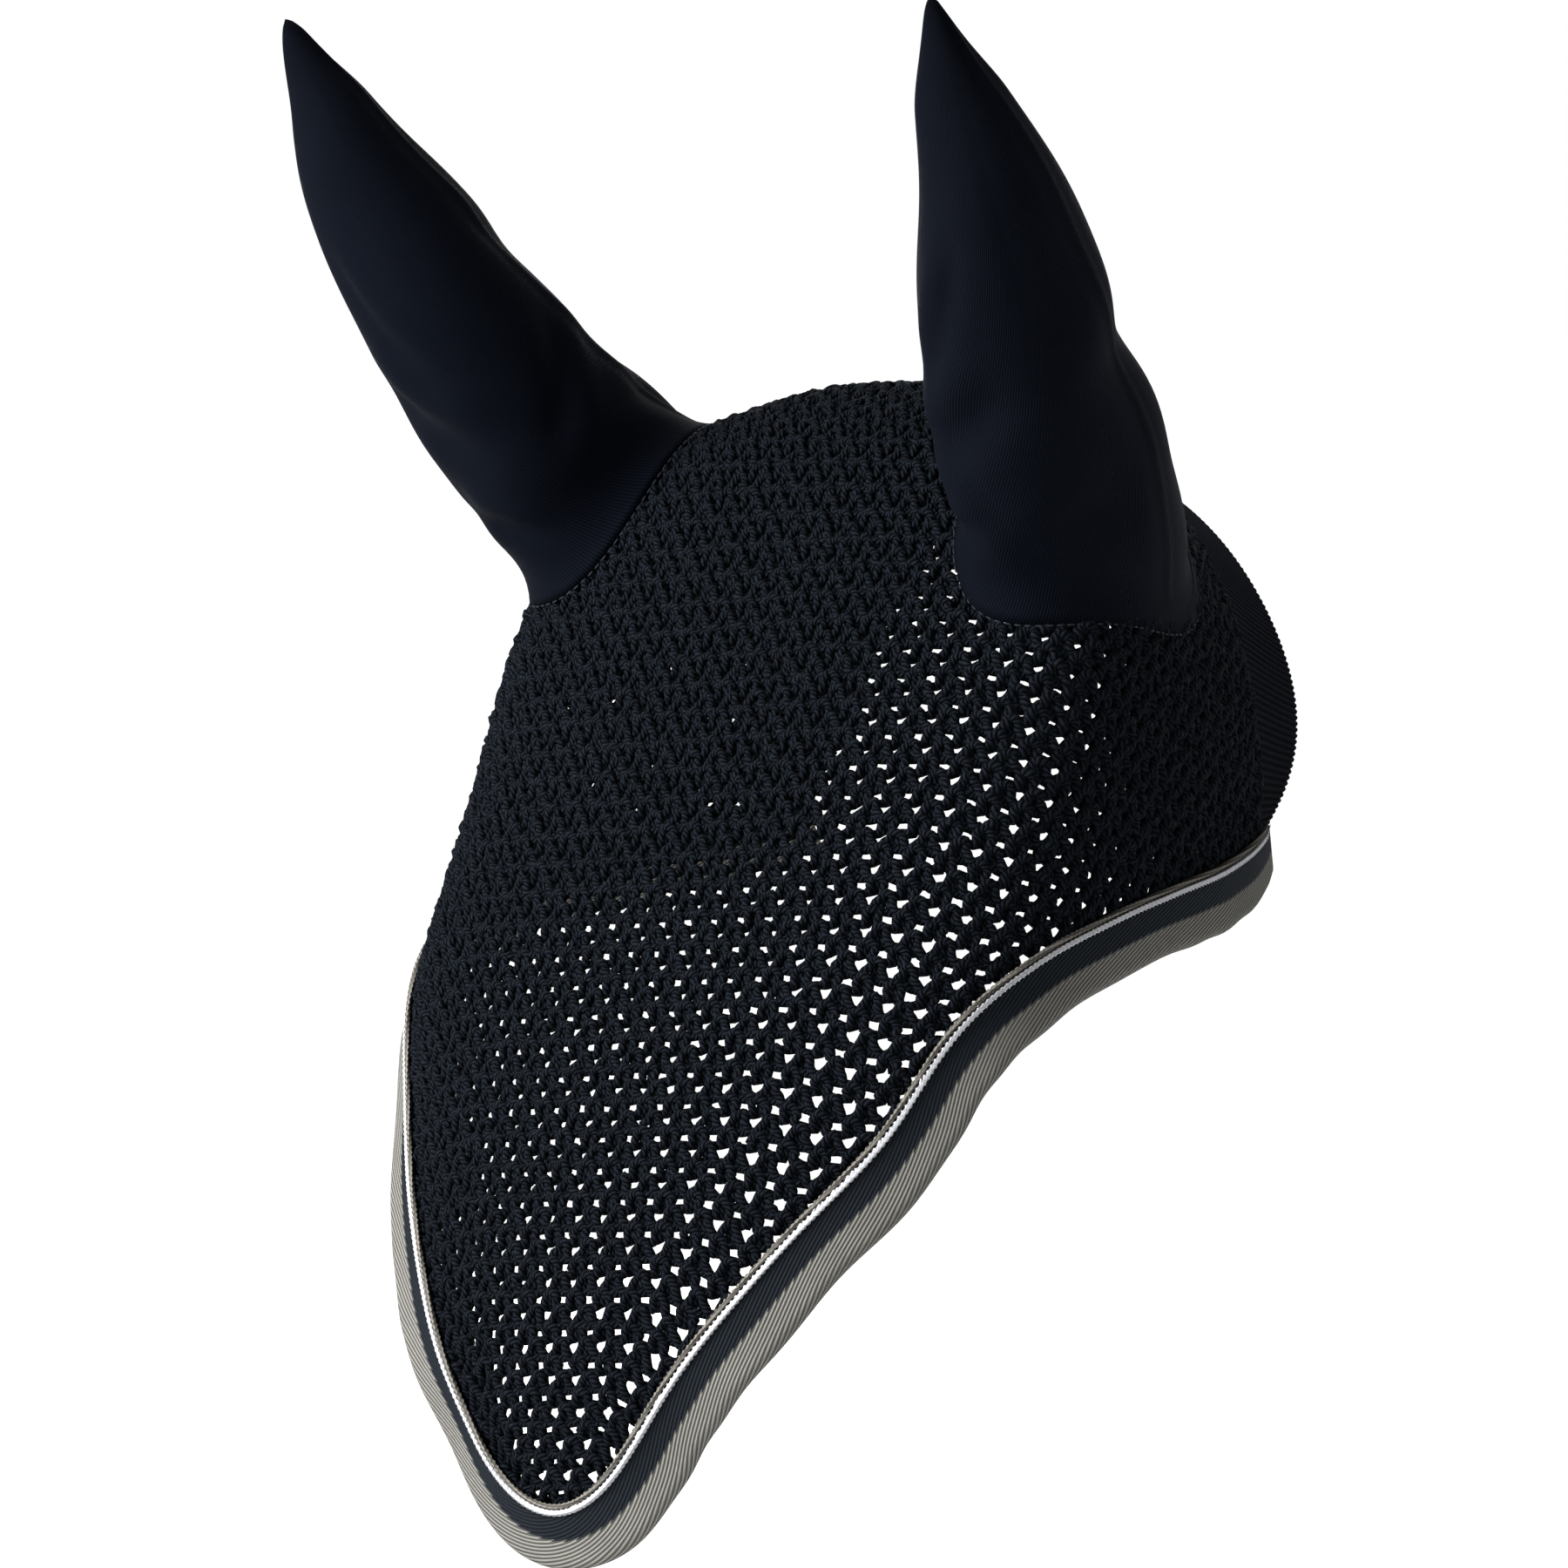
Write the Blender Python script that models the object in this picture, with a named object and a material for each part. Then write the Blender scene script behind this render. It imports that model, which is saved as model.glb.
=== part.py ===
"""Ear bonnet for a horse: a crochet hood with a folded rib-knit poll band, two twill ear sleeves
sewn round its ear holes, and a lower edge bound with folded tape under two rows of cord.

Frame: metres, +Z up. The horse faces -Y and its left side is +X. The origin is the crown, the
point of the centre line between the ears that rests on the poll. The bonnet is in its worn shape.
"""

import math

import bmesh
import bpy
import numpy as np
from mathutils import Quaternion, Vector
from mathutils.bvhtree import BVHTree

# Driving dimensions of the hood form
FACE_DROP = 0.306  # crown down to the tip of the crochet
FACE_REACH = 0.134  # crown forward to the foremost part of the face line
HALF_WIDTH = 0.108  # centre plane to the widest part of the side edge
SIDE_DROP = 0.139  # crown down to the side edge under the ear
BACK_REACH = 0.104  # crown back to the fold of the poll band
COLLAR_LIFT = 0.009  # how far the sewn-in ears lift the crochet in front of them
SHOULDER_LIFT = 0.012  # how far the crochet rises under the ears
BACK_SWELL = 0.013  # how far the lower back edge curves backwards

# Walls and sewn gaps
CROCHET_WALL = 0.0030
RIB_WALL = 0.0013  # one leaf of the folded poll band
TAPE_WALL = 0.0009
TWILL_WALL = 0.0010
SEWN_GAP = 0.0003  # room between pieces that touch
TAPE_ROOM = 0.00075  # room for the hood's edge on each side in the folded tape
LAID_LIFT = 0.0009  # room under hems and cords, which lie on the curved hood

# Edge binding, cords and threads
BINDING_WIDTH = 0.0150  # the folded tape's width on each face
BINDING_TUCK = 0.0100  # how far the hood's edge reaches into the fold
BINDING_OVERRUN = 0.0012  # how far the tape's ends pass the poll band's fold
BINDING_STITCH_INSET = 0.0025  # from the tape's inner edge to its row of stitches
WHITE_CORD_RADIUS = 0.00125
GREY_CORD_RADIUS = 0.00110
THREAD_RADIUS = 0.00045

# Ear sleeves
EAR_LENGTH = 0.177  # base centre to tip
EAR_BASE_SIDE = 0.0255  # half-axes of the oval where the sleeve meets the crochet
EAR_BASE_FORE = 0.0425
EAR_BASE_TURN = math.radians(-29.0)  # turns the front of the oval towards the centre line
EAR_SIDE_RADIUS = 0.0335  # half-axes of the sleeve above its foot, if it had no taper
EAR_FORE_RADIUS = 0.046
EAR_TURN = math.radians(-12.5)  # turns the sleeve's sections about its line
EAR_TIP_FLATNESS = 0.58  # fore radius near the tip as a share of a round sleeve's
EAR_PLACE = (8.15, 0.505)  # station and lateral place of the middle of the left ear's base
EAR_DIRECTION = Vector((0.221, -0.80, 1.0)).normalized()
EAR_BOW = (0.008, 0.0075)  # how far the sleeve's middle bows forwards and outwards
EAR_FOOT_SHARE = 0.27  # how far up the sleeve its flexing foot reaches
EAR_BLEND_SHARE = 0.32  # how far up the sleeve the oval of its base shows in its shape
EAR_HOLE_ROOM = 0.0028  # the ear hole is this much larger than the sleeve all round
EAR_HOLE_CUT = 0.0030  # the cut for the hole reaches this far below and above the crochet
EAR_TIP_STOP = 0.0030  # the panels end this far below the sleeve's point
EAR_TIP_SOLID = 0.0150  # the panels meet over this length below their ends
HEM_WIDTH = 0.0080
HEM_THICKNESS = 2 * TWILL_WALL  # the hem is turned once
HEM_STITCH_INSET = 0.0025
SEAM_ALLOWANCE = 0.0050  # width of the overlocked seam edges inside the sleeve
SEAM_HALF_THICKNESS = 0.0006
SEAM_CLEARANCE = 0.0010
SEAM_END_SHARE = 0.78  # how far up the sleeve the overlocked edges stand free

# Mesh densities
CROCHET_ROWS = 25
RIB_ROWS = 4
COLUMNS = 30
EAR_RINGS = 8
EAR_RING_CROWDING = 1.4  # more than 1 crowds the panels' rings towards the tip
EAR_FOOT_RINGS = 4
EAR_SIDES = 24
EAR_HOLE_SHARES = (0.0, 0.35, 0.7, 1.0)  # rings of the cut for the ear hole
ROW_SAMPLES = 160  # points at which a row's length is measured
CORD_BEVEL = 2
THREAD_BEVEL = 0
SHARP_ANGLE = math.radians(40.0)
MERGE_DISTANCE = 1e-6

# Where normals of the hood form are read. Rows and side edge run together at the tip, so
# close to the border the normal of a place just inside is used.
NORMAL_STEP = 0.02
NORMAL_FIRST_STATION = 0.4
NORMAL_LAST_PLACE = 0.94

# Stations of the hood form, from its tip over the crown to the fold at the back.
# Forward: share of FACE_REACH, or of BACK_REACH where it is behind the crown.
# Drop: share of FACE_DROP. Half-width: share of HALF_WIDTH.
# Edge drop: 0 is at SIDE_DROP and 1 at FACE_DROP.
# Turn: degrees through which a row turns between the centre line and the side edge.
# Squareness: 2 makes the row an ellipse, and more gives it squarer shoulders.
STATIONS = (
    # forward, drop, half-width, edge forward, edge drop, turn, squareness
    (0.972, 1.000, 0.250, 0.966, 0.894, 30.0, 2.0),
    (1.000, 0.882, 0.426, 0.945, 0.731, 52.0, 2.0),
    (0.970, 0.778, 0.620, 0.840, 0.546, 56.0, 2.0),
    (0.878, 0.654, 0.800, 0.695, 0.371, 62.0, 2.2),
    (0.772, 0.539, 0.917, 0.575, 0.192, 70.0, 2.6),
    (0.645, 0.425, 0.981, 0.395, 0.089, 78.0, 3.1),
    (0.495, 0.301, 1.000, 0.164, 0.030, 84.0, 3.4),
    (0.330, 0.180, 0.985, -0.058, 0.000, 87.0, 3.3),
    (0.135, 0.052, 0.945, -0.308, -0.019, 89.0, 2.9),
    (-0.170, -0.007, 0.888, -0.519, -0.042, 90.0, 2.5),
    (-0.520, 0.010, 0.835, -0.664, -0.066, 90.0, 2.2),
    (-1.000, 0.072, 0.796, -0.750, -0.090, 90.0, 2.0),
)
LAST_STATION = len(STATIONS) - 1
RIB_STATION = LAST_STATION - 1  # where the crochet meets the rib
SEAM_THREAD_END = 0.96  # lateral place where the thread of that seam ends, short of the binding
SWELL_STATION = LAST_STATION - 3  # where the back edge begins to curve backwards

# The two rises of the hood at each ear: height, station and lateral place of the middle,
# spread along both, and the direction of the rise on the left side.
EAR_RISES = (
    (COLLAR_LIFT, (7.3, 0.60), (1.2, 0.24), Vector((0.70, -0.45, 0.55)).normalized()),
    (SHOULDER_LIFT, (8.4, 0.52), (1.6, 0.26), Vector((0.60, 0.0, 0.80))),
)

# Name, colour and roughness of the yarn, rib knit, ear cloth, binding, cords and thread
FABRICS = (
    ("navy_cotton_yarn", (0.012, 0.014, 0.022, 1.0), 0.95),
    ("navy_rib_knit", (0.012, 0.014, 0.022, 1.0), 0.95),
    ("navy_twill", (0.011, 0.013, 0.021, 1.0), 0.80),
    ("grey_and_navy_tape", (0.30, 0.29, 0.26, 1.0), 0.85),
    ("white_cord", (0.80, 0.80, 0.82, 1.0), 0.70),
    ("grey_cord", (0.33, 0.31, 0.29, 1.0), 0.80),
    ("navy_thread", (0.012, 0.014, 0.022, 1.0), 0.60),
)

EAR_FORE = (Vector((0, -1, 0)) + EAR_DIRECTION.y * EAR_DIRECTION).normalized()
EAR_FORE.rotate(Quaternion(EAR_DIRECTION, EAR_TURN))
EAR_SIDE = EAR_DIRECTION.cross(EAR_FORE)


# Hood form


def reach(share):
    return share * (FACE_REACH if share > 0 else BACK_REACH)


def sized_stations():
    """The stations in metres and radians."""
    rows = []
    for forward, drop, half_width, edge_forward, edge_drop, turn, squareness in STATIONS:
        rows.append(
            (
                reach(forward),
                -drop * FACE_DROP,
                half_width * HALF_WIDTH,
                reach(edge_forward),
                -SIDE_DROP - edge_drop * (FACE_DROP - SIDE_DROP),
                math.radians(turn),
                squareness,
            )
        )
    return np.array(rows)


SIZED_STATIONS = sized_stations()


def station_at(u):
    """Catmull-Rom through the stations at u, from 0 at the tip to LAST_STATION at the fold."""
    i = min(int(u), LAST_STATION - 1)
    t = u - i
    here, there = SIZED_STATIONS[i], SIZED_STATIONS[i + 1]
    before = SIZED_STATIONS[i - 1] if i > 0 else 2 * here - there
    after = SIZED_STATIONS[i + 2] if i + 2 <= LAST_STATION else 2 * there - here
    return 0.5 * (
        2 * here
        + (there - before) * t
        + (2 * before - 5 * here + 4 * there - after) * t**2
        + (3 * here - before - 3 * there + after) * t**3
    )


def ear_rise(u, q):
    """How far the ears lift the crochet at this place of the left side."""
    rise = Vector()
    for height, (station, place), (long_spread, wide_spread), direction in EAR_RISES:
        along = (u - station) / long_spread
        across = (abs(q) - place) / wide_spread
        rise += height * math.exp(-(along**2) - across**2) * direction
    return rise


def back_swell(u, q):
    """How far the lower back edge stands behind a plain row."""
    share = max(u - SWELL_STATION, 0.0) / (LAST_STATION - SWELL_STATION)
    return BACK_SWELL * share**2 * math.sin(math.pi * abs(q) ** 3)


def hood_point(u, q):
    """The middle of the hood's wall at station u, from q = -1 (right edge) to 1 (left edge)."""
    forward, height, width, edge_forward, edge_height, turn, squareness = station_at(u)
    power = 2.0 / squareness
    angle = turn * abs(q)
    across = (math.sin(angle) / math.sin(turn)) ** power
    fall = (1 - max(math.cos(angle), 0) ** power) / (1 - max(math.cos(turn), 0) ** power)
    rise = ear_rise(u, q)
    return Vector(
        (
            math.copysign((width + rise.x) * across, q),
            -(forward + fall * (edge_forward - forward)) + rise.y + back_swell(u, q),
            height + fall * (edge_height - height) + rise.z,
        )
    )


def hood_normal(u, q):
    """Outward unit normal of the hood form."""
    u = min(max(u, NORMAL_FIRST_STATION), LAST_STATION - NORMAL_STEP)
    q = math.copysign(min(abs(q), NORMAL_LAST_PLACE), q)
    along = hood_point(u + NORMAL_STEP, q) - hood_point(u - NORMAL_STEP, q)
    across = hood_point(u, q + NORMAL_STEP) - hood_point(u, q - NORMAL_STEP)
    return across.cross(along).normalized()


def row_places(u, columns):
    """Values of q that divide the row at station u into equal lengths."""
    fine = np.linspace(0.0, 1.0, ROW_SAMPLES)
    points = np.array([hood_point(u, q) for q in fine])
    run = np.concatenate([[0.0], np.cumsum(np.linalg.norm(np.diff(points, axis=0), axis=1))])
    half = np.interp(np.linspace(0.0, run[-1], columns // 2 + 1), run, fine)
    return [*(-half[:0:-1]), *half]


# Lower edge


def crochet_stations():
    gap = 2 * SEWN_GAP / (hood_point(LAST_STATION, 0.0) - hood_point(RIB_STATION, 0.0)).length
    return list(np.linspace(0.0, RIB_STATION - gap, CROCHET_ROWS))


def rib_stations():
    return list(np.linspace(RIB_STATION, LAST_STATION, RIB_ROWS))


def hood_skin():
    """The hood's facets, on which the cords are laid."""
    stations = crochet_stations() + rib_stations()
    points = []
    for u in stations:
        points += [hood_point(u, q) for q in row_places(u, COLUMNS)]
    faces = []
    for r in range(len(stations) - 1):
        for k in range(COLUMNS):
            corner = r * (COLUMNS + 1) + k
            above = corner + COLUMNS + 1
            faces.append((corner, corner + 1, above + 1, above))
    return BVHTree.FromPolygons(points, faces)


def edge_route():
    """Places along the lower edge, from the right back corner round the tip to the left one."""
    side = crochet_stations() + rib_stations()
    tip = row_places(0.0, COLUMNS)[1:-1]
    return [(u, -1.0) for u in side[::-1]] + [(0.0, q) for q in tip] + [(u, 1.0) for u in side]


def eased(vectors):
    """Unit vectors along a route, each averaged with its neighbours."""
    spread = [vectors[0], *vectors, vectors[-1]]
    return [sum(spread[k : k + 3], Vector()).normalized() for k in range(len(vectors))]


def edge_frames():
    """For each place of the edge route: point, outward normal and the way out of the hood."""
    route = edge_route()
    points = [hood_point(u, q) for u, q in route]
    steps = [(b - a).normalized() for a, b in zip(points[:-1], points[1:])]
    tangents = [steps[0], *(a + b for a, b in zip(steps[:-1], steps[1:])), steps[-1]]
    normals = eased(eased([hood_normal(u, q) for u, q in route]))
    frames = {}
    for place, point, tangent, normal in zip(route, points, tangents, normals):
        out = tangent.cross(normal).normalized()
        frames[place] = (point, out.cross(tangent).normalized(), out)
    return frames


def along_edge(frames, out, lift):
    """Points that follow the lower edge, shifted out of the hood and off its face."""
    return [point + out * way + lift * normal for point, normal, way in frames.values()]


def lengthened(points, extra):
    """The points with both ends carried straight on by extra."""
    first = points[0] + extra * (points[0] - points[1]).normalized()
    last = points[-1] + extra * (points[-1] - points[-2]).normalized()
    return [first, *points, last]


# Meshes, curves and materials


def fabric(name, colour, roughness):
    material = bpy.data.materials.new(name)
    material.use_nodes = True
    shader = material.node_tree.nodes["Principled BSDF"]
    shader.inputs["Base Color"].default_value = colour
    shader.inputs["Roughness"].default_value = roughness
    shader.inputs["Metallic"].default_value = 0.0
    return material


def add_object(name, data, material, pivot=None):
    """An object with its origin at the world's origin or, for a moving piece, at its pivot."""
    data.materials.append(material)
    piece = bpy.data.objects.new(name, data)
    bpy.context.scene.collection.objects.link(piece)
    piece.parent = pivot
    return piece


def mesh_object(name, builder, material, pivot=None):
    """A smooth-shaded mesh object from a bmesh in world places."""
    bmesh.ops.remove_doubles(builder, verts=builder.verts, dist=MERGE_DISTANCE)
    bmesh.ops.triangulate(builder, faces=builder.faces, quad_method="FIXED")
    bmesh.ops.recalc_face_normals(builder, faces=builder.faces)
    if pivot is not None:
        bmesh.ops.translate(builder, verts=builder.verts, vec=-pivot.location)
    mesh = bpy.data.meshes.new(name)
    builder.to_mesh(mesh)
    builder.free()
    mesh.shade_smooth()
    mesh.set_sharp_from_angle(angle=SHARP_ANGLE)
    return add_object(name, mesh, material, pivot)


def add_grid(builder, rows):
    """Adds quads over rows of points, and returns the rows of vertices."""
    made = [[builder.verts.new(point) for point in row] for row in rows]
    for low, high in zip(made[:-1], made[1:]):
        for k in range(len(low) - 1):
            builder.faces.new((low[k], low[k + 1], high[k + 1], high[k]))
    return made


def add_walls(builder, first, second):
    """Adds quads between two like rows of vertices."""
    for k in range(len(first) - 1):
        builder.faces.new((first[k], first[k + 1], second[k + 1], second[k]))


def slab(inner_rows, outer_rows):
    """A closed bmesh between two like grids of points."""
    builder = bmesh.new()
    inner = add_grid(builder, inner_rows)
    outer = add_grid(builder, outer_rows)
    for r in (0, -1):
        add_walls(builder, inner[r], outer[r])
        add_walls(builder, [row[r] for row in inner], [row[r] for row in outer])
    return builder


def ring(inner_rows, outer_rows):
    """A closed bmesh between two like grids whose rows are loops of points."""
    builder = bmesh.new()
    inner = add_grid(builder, [[*row, row[0]] for row in inner_rows])
    outer = add_grid(builder, [[*row, row[0]] for row in outer_rows])
    for r in (0, -1):
        add_walls(builder, inner[r], outer[r])
    return builder


def tube(name, points, radius, material, closed=False):
    """A cord or thread: a bevelled curve through the points, with filled caps."""
    curve = bpy.data.curves.new(name, "CURVE")
    curve.dimensions = "3D"
    curve.bevel_depth = radius
    curve.bevel_resolution = CORD_BEVEL if radius > 2 * THREAD_RADIUS else THREAD_BEVEL
    curve.use_fill_caps = True
    spline = curve.splines.new("POLY")
    spline.points.add(len(points) - 1)
    for place, point in zip(spline.points, points):
        place.co = (*point, 1.0)
    spline.use_cyclic_u = closed
    return add_object(name, curve, material)


# Hood pieces


def wall_row(frames, u, lift):
    """One row of a wall, from its tongue in the right binding to its tongue in the left."""
    places = row_places(u, COLUMNS)
    row = [hood_point(u, q) + lift * hood_normal(u, q) for q in places[1:-1]]
    ends = []
    for q in (-1.0, 1.0):
        point, normal, out = frames[u, q]
        ends.append((point + lift * normal, point + lift * normal + BINDING_TUCK * out))
    return [ends[0][1], ends[0][0], *row, ends[1][0], ends[1][1]]


def crochet_face(frames, lift):
    """Rows of one face of the crochet. The first is the tongue in the binding round the tip."""
    rows = [wall_row(frames, u, lift) for u in crochet_stations()]
    tongue = []
    for q in row_places(0.0, COLUMNS):
        point, normal, out = frames[0.0, q]
        tongue.append(point + lift * normal + BINDING_TUCK * out)
    return [[rows[0][0], *tongue, rows[0][-1]], *rows]


def crochet_hood(frames, material):
    """The crochet sheet. Its lower edge reaches into the binding."""
    faces = [crochet_face(frames, lift) for lift in (-CROCHET_WALL / 2, CROCHET_WALL / 2)]
    return mesh_object("crochet_hood", slab(*faces), material)


def folded_face(frames, lift):
    """Rows of one face of the folded rib band: outer leaf, fold and inner leaf."""
    outer = [wall_row(frames, u, lift) for u in rib_stations()]
    inner = [wall_row(frames, u, -lift) for u in rib_stations()]
    start, end = (wall_row(frames, u, 0.0) for u in rib_stations()[-2:])
    fold = [far + lift * (far - near).normalized() for near, far in zip(start, end)]
    return [*outer, fold, *inner[::-1]]


def rib_poll_band(frames, material):
    """The rib band over the poll: one sheet folded at the back edge into two leaves."""
    faces = [folded_face(frames, lift) for lift in (SEWN_GAP / 2, SEWN_GAP / 2 + RIB_WALL)]
    return mesh_object("rib_poll_band", slab(*faces), material)


def rib_seam_thread(material):
    """The thread of the seam that joins crochet and rib, on the inside."""
    depth = CROCHET_WALL / 2 + SEWN_GAP + THREAD_RADIUS
    points = []
    for q in row_places(RIB_STATION, 2 * COLUMNS):
        if abs(q) < SEAM_THREAD_END:
            points.append(hood_point(RIB_STATION, q) - depth * hood_normal(RIB_STATION, q))
    return tube("rib_seam_thread", points, THREAD_RADIUS, material)


def tape_lift():
    """From the middle of the hood's wall to the middle of the binding's wall."""
    return CROCHET_WALL / 2 + TAPE_ROOM + TAPE_WALL / 2


def binding_face(frames, lift):
    """Rows of one face of the folded tape: outer leaf, fold and inner leaf."""
    fold_centre = BINDING_WIDTH - tape_lift() - TAPE_WALL / 2
    profile = [(0.0, lift)]
    for degrees in (90, 45, 0, -45, -90):
        turn = math.radians(degrees)
        profile.append((fold_centre + lift * math.cos(turn), lift * math.sin(turn)))
    profile.append((0.0, -lift))
    return [lengthened(along_edge(frames, out, rise), BINDING_OVERRUN) for out, rise in profile]


def edge_binding(frames, material):
    """The tape folded over the hood's edge."""
    lifts = (tape_lift() - TAPE_WALL / 2, tape_lift() + TAPE_WALL / 2)
    faces = [binding_face(frames, lift) for lift in lifts]
    return mesh_object("edge_binding", slab(*faces), material)


def binding_stitching(frames, material):
    lift = tape_lift() + TAPE_WALL / 2 + TAPE_ROOM + THREAD_RADIUS
    points = along_edge(frames, BINDING_STITCH_INSET, -lift)
    return tube("binding_stitching", points, THREAD_RADIUS, material)


def laid_on(skin, points, radius):
    """The points moved so that a cord through them lies on the hood's outer face."""
    rise = CROCHET_WALL / 2 + LAID_LIFT + radius
    laid = []
    for point in points:
        place, normal, _, _ = skin.find_nearest(point)
        laid.append(place + rise * normal)
    return laid


def edge_cords(frames, skin, white, grey):
    """The white cord lies against the tape's outer edge, and the grey cord beside it."""
    white_out = -(LAID_LIFT + WHITE_CORD_RADIUS)
    grey_out = white_out - WHITE_CORD_RADIUS - LAID_LIFT - GREY_CORD_RADIUS
    white_route = laid_on(skin, along_edge(frames, white_out, 0.0), WHITE_CORD_RADIUS)
    grey_route = laid_on(skin, along_edge(frames, grey_out, 0.0), GREY_CORD_RADIUS)
    tube("white_cord", white_route, WHITE_CORD_RADIUS, white)
    tube("grey_cord", grey_route, GREY_CORD_RADIUS, grey)


# Ears


def ear_base():
    """The middle of the left ear's base on the hood form."""
    return hood_point(*EAR_PLACE)


def base_steps():
    """Metres along the hood for one unit of station and of lateral place at the ear's base."""
    u, q = EAR_PLACE
    along = hood_point(u + NORMAL_STEP, q) - hood_point(u - NORMAL_STEP, q)
    across = hood_point(u, q + NORMAL_STEP) - hood_point(u, q - NORMAL_STEP)
    return along.length / (2 * NORMAL_STEP), across.length / (2 * NORMAL_STEP)


BASE_LONG_STEP, BASE_WIDE_STEP = base_steps()


def base_point(angle, grow, height, share=1.0):
    """A point of the left ear's base oval, height above the crochet's outer face.

    share is how far out it lies from the middle of the oval."""
    side = share * (EAR_BASE_SIDE + grow) * math.cos(angle)
    fore = share * (EAR_BASE_FORE + grow) * math.sin(angle)
    forward = fore * math.cos(EAR_BASE_TURN) - side * math.sin(EAR_BASE_TURN)
    outward = side * math.cos(EAR_BASE_TURN) + fore * math.sin(EAR_BASE_TURN)
    u = EAR_PLACE[0] - forward / BASE_LONG_STEP
    q = EAR_PLACE[1] + outward / BASE_WIDE_STEP
    return hood_point(u, q) + (CROCHET_WALL / 2 + height) * hood_normal(u, q)


def sleeve_point(angle, share, grow=0.0, solid=0.0):
    """A point of the left sleeve: angle 0 is its outer seam, a quarter turn its front.

    share runs from 0 on the crochet to 1 at the tip. grow widens the sleeve, and solid
    flattens it towards the plane of its seams."""
    taper = math.sqrt(1.0 - share)
    flatten = EAR_TIP_FLATNESS + (1 - EAR_TIP_FLATNESS) * (1.0 - share)
    across = (EAR_SIDE_RADIUS * taper + grow) * math.cos(angle)
    fore = max(EAR_FORE_RADIUS * taper * flatten + grow, 0.0) * (1 - solid) * math.sin(angle)
    section = across * EAR_SIDE + fore * EAR_FORE
    oval = taper * (base_point(angle, grow, LAID_LIFT) - ear_base())
    blend = min(share / EAR_BLEND_SHARE, 1.0)
    blend = blend * blend * (3 - 2 * blend)
    bow = 4 * share * (1 - share) * (EAR_BOW[0] * EAR_FORE + EAR_BOW[1] * EAR_SIDE)
    return ear_base() + share * EAR_LENGTH * EAR_DIRECTION + bow + oval.lerp(section, blend)


def on_side(side, points):
    """Points of the left ear, or their mirror images for the right one."""
    return [Vector((side * point.x, point.y, point.z)) for point in points]


def sleeve_angles():
    return [2 * math.pi * k / EAR_SIDES for k in range(EAR_SIDES)]


def cut_ear_hole(side, crochet):
    """Cuts the ear hole: the sleeve's base oval, wider by its room, through the crochet."""
    below, above = (
        [hem_loop(side, EAR_HOLE_ROOM, height, share) for share in EAR_HOLE_SHARES]
        for height in (-CROCHET_WALL - EAR_HOLE_CUT, EAR_HOLE_CUT)
    )
    builder = bmesh.new()
    add_grid(builder, [[*row, row[0]] for row in [*below, *above[::-1]]])
    cutter = mesh_object("ear_hole_cutter", builder, crochet.data.materials[0])
    cutter.hide_render = True
    cutter.display_type = "WIRE"
    hole = crochet.modifiers.new("ear_hole", "BOOLEAN")
    hole.operation = "DIFFERENCE"
    hole.solver = "EXACT"
    hole.object = cutter


def sleeve_loop(side, share, grow):
    return on_side(side, [sleeve_point(angle, share, grow) for angle in sleeve_angles()])


def hem_rise_share():
    """How far up the sleeve its hem reaches."""
    return HEM_THICKNESS / (EAR_LENGTH * EAR_DIRECTION.dot(hood_normal(*EAR_PLACE)))


def ear_foot(name, side, material):
    """The foot of the sleeve, which flexes when the ear tilts."""
    top = EAR_FOOT_SHARE - SEWN_GAP / EAR_LENGTH
    shares = [0.0, hem_rise_share()]
    shares += [top * k / EAR_FOOT_RINGS for k in range(1, EAR_FOOT_RINGS + 1)]
    inner = [sleeve_loop(side, share, -TWILL_WALL) for share in shares]
    outer = [sleeve_loop(side, share, 0.0) for share in shares]
    return mesh_object(name, ring(inner, outer), material)


def ear_panel(name, side, first_angle, material, pivot):
    """Half of an ear sleeve above its foot, between its outer and inner seams.

    Near the tip its inner face closes on the plane of the seams."""
    count = EAR_SIDES // 2
    angles = [first_angle + math.pi * k / count for k in range(count + 1)]
    off_seam = EAR_FORE * math.copysign(SEWN_GAP / 2, math.sin(angles[count // 2]))
    top = 1 - EAR_TIP_STOP / EAR_LENGTH
    inner, outer = [], []
    for k in range(EAR_RINGS + 1):
        share = top - (top - EAR_FOOT_SHARE) * (1 - k / EAR_RINGS) ** EAR_RING_CROWDING
        solid = max(1 - (top - share) * EAR_LENGTH / EAR_TIP_SOLID, 0.0)
        outer_row = [sleeve_point(angle, share) for angle in angles]
        inner_row = [sleeve_point(angle, share, -TWILL_WALL, solid) for angle in angles]
        outer.append(on_side(side, [point + off_seam for point in outer_row]))
        inner.append(on_side(side, [point + off_seam for point in inner_row]))
    return mesh_object(name, slab(inner, outer), material, pivot)


def ear_seam(name, side, angle, material, pivot):
    """The overlocked edges of both panels along one seam, standing inwards in the sleeve."""
    outer_grow = -(TWILL_WALL + SEAM_CLEARANCE)
    inner_grow = outer_grow - SEAM_ALLOWANCE
    front, back = [], []
    for k in range(EAR_RINGS + 1):
        share = EAR_FOOT_SHARE + (SEAM_END_SHARE - EAR_FOOT_SHARE) * k / EAR_RINGS
        pair = [sleeve_point(angle, share, grow) for grow in (inner_grow, outer_grow)]
        front.append(on_side(side, [point + SEAM_HALF_THICKNESS * EAR_FORE for point in pair]))
        back.append(on_side(side, [point - SEAM_HALF_THICKNESS * EAR_FORE for point in pair]))
    return mesh_object(name, slab(back, front), material, pivot)


def hem_loop(side, grow, height, share=1.0):
    """A loop round the ear's base, on the crochet."""
    return on_side(side, [base_point(angle, grow, height, share) for angle in sleeve_angles()])


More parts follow.
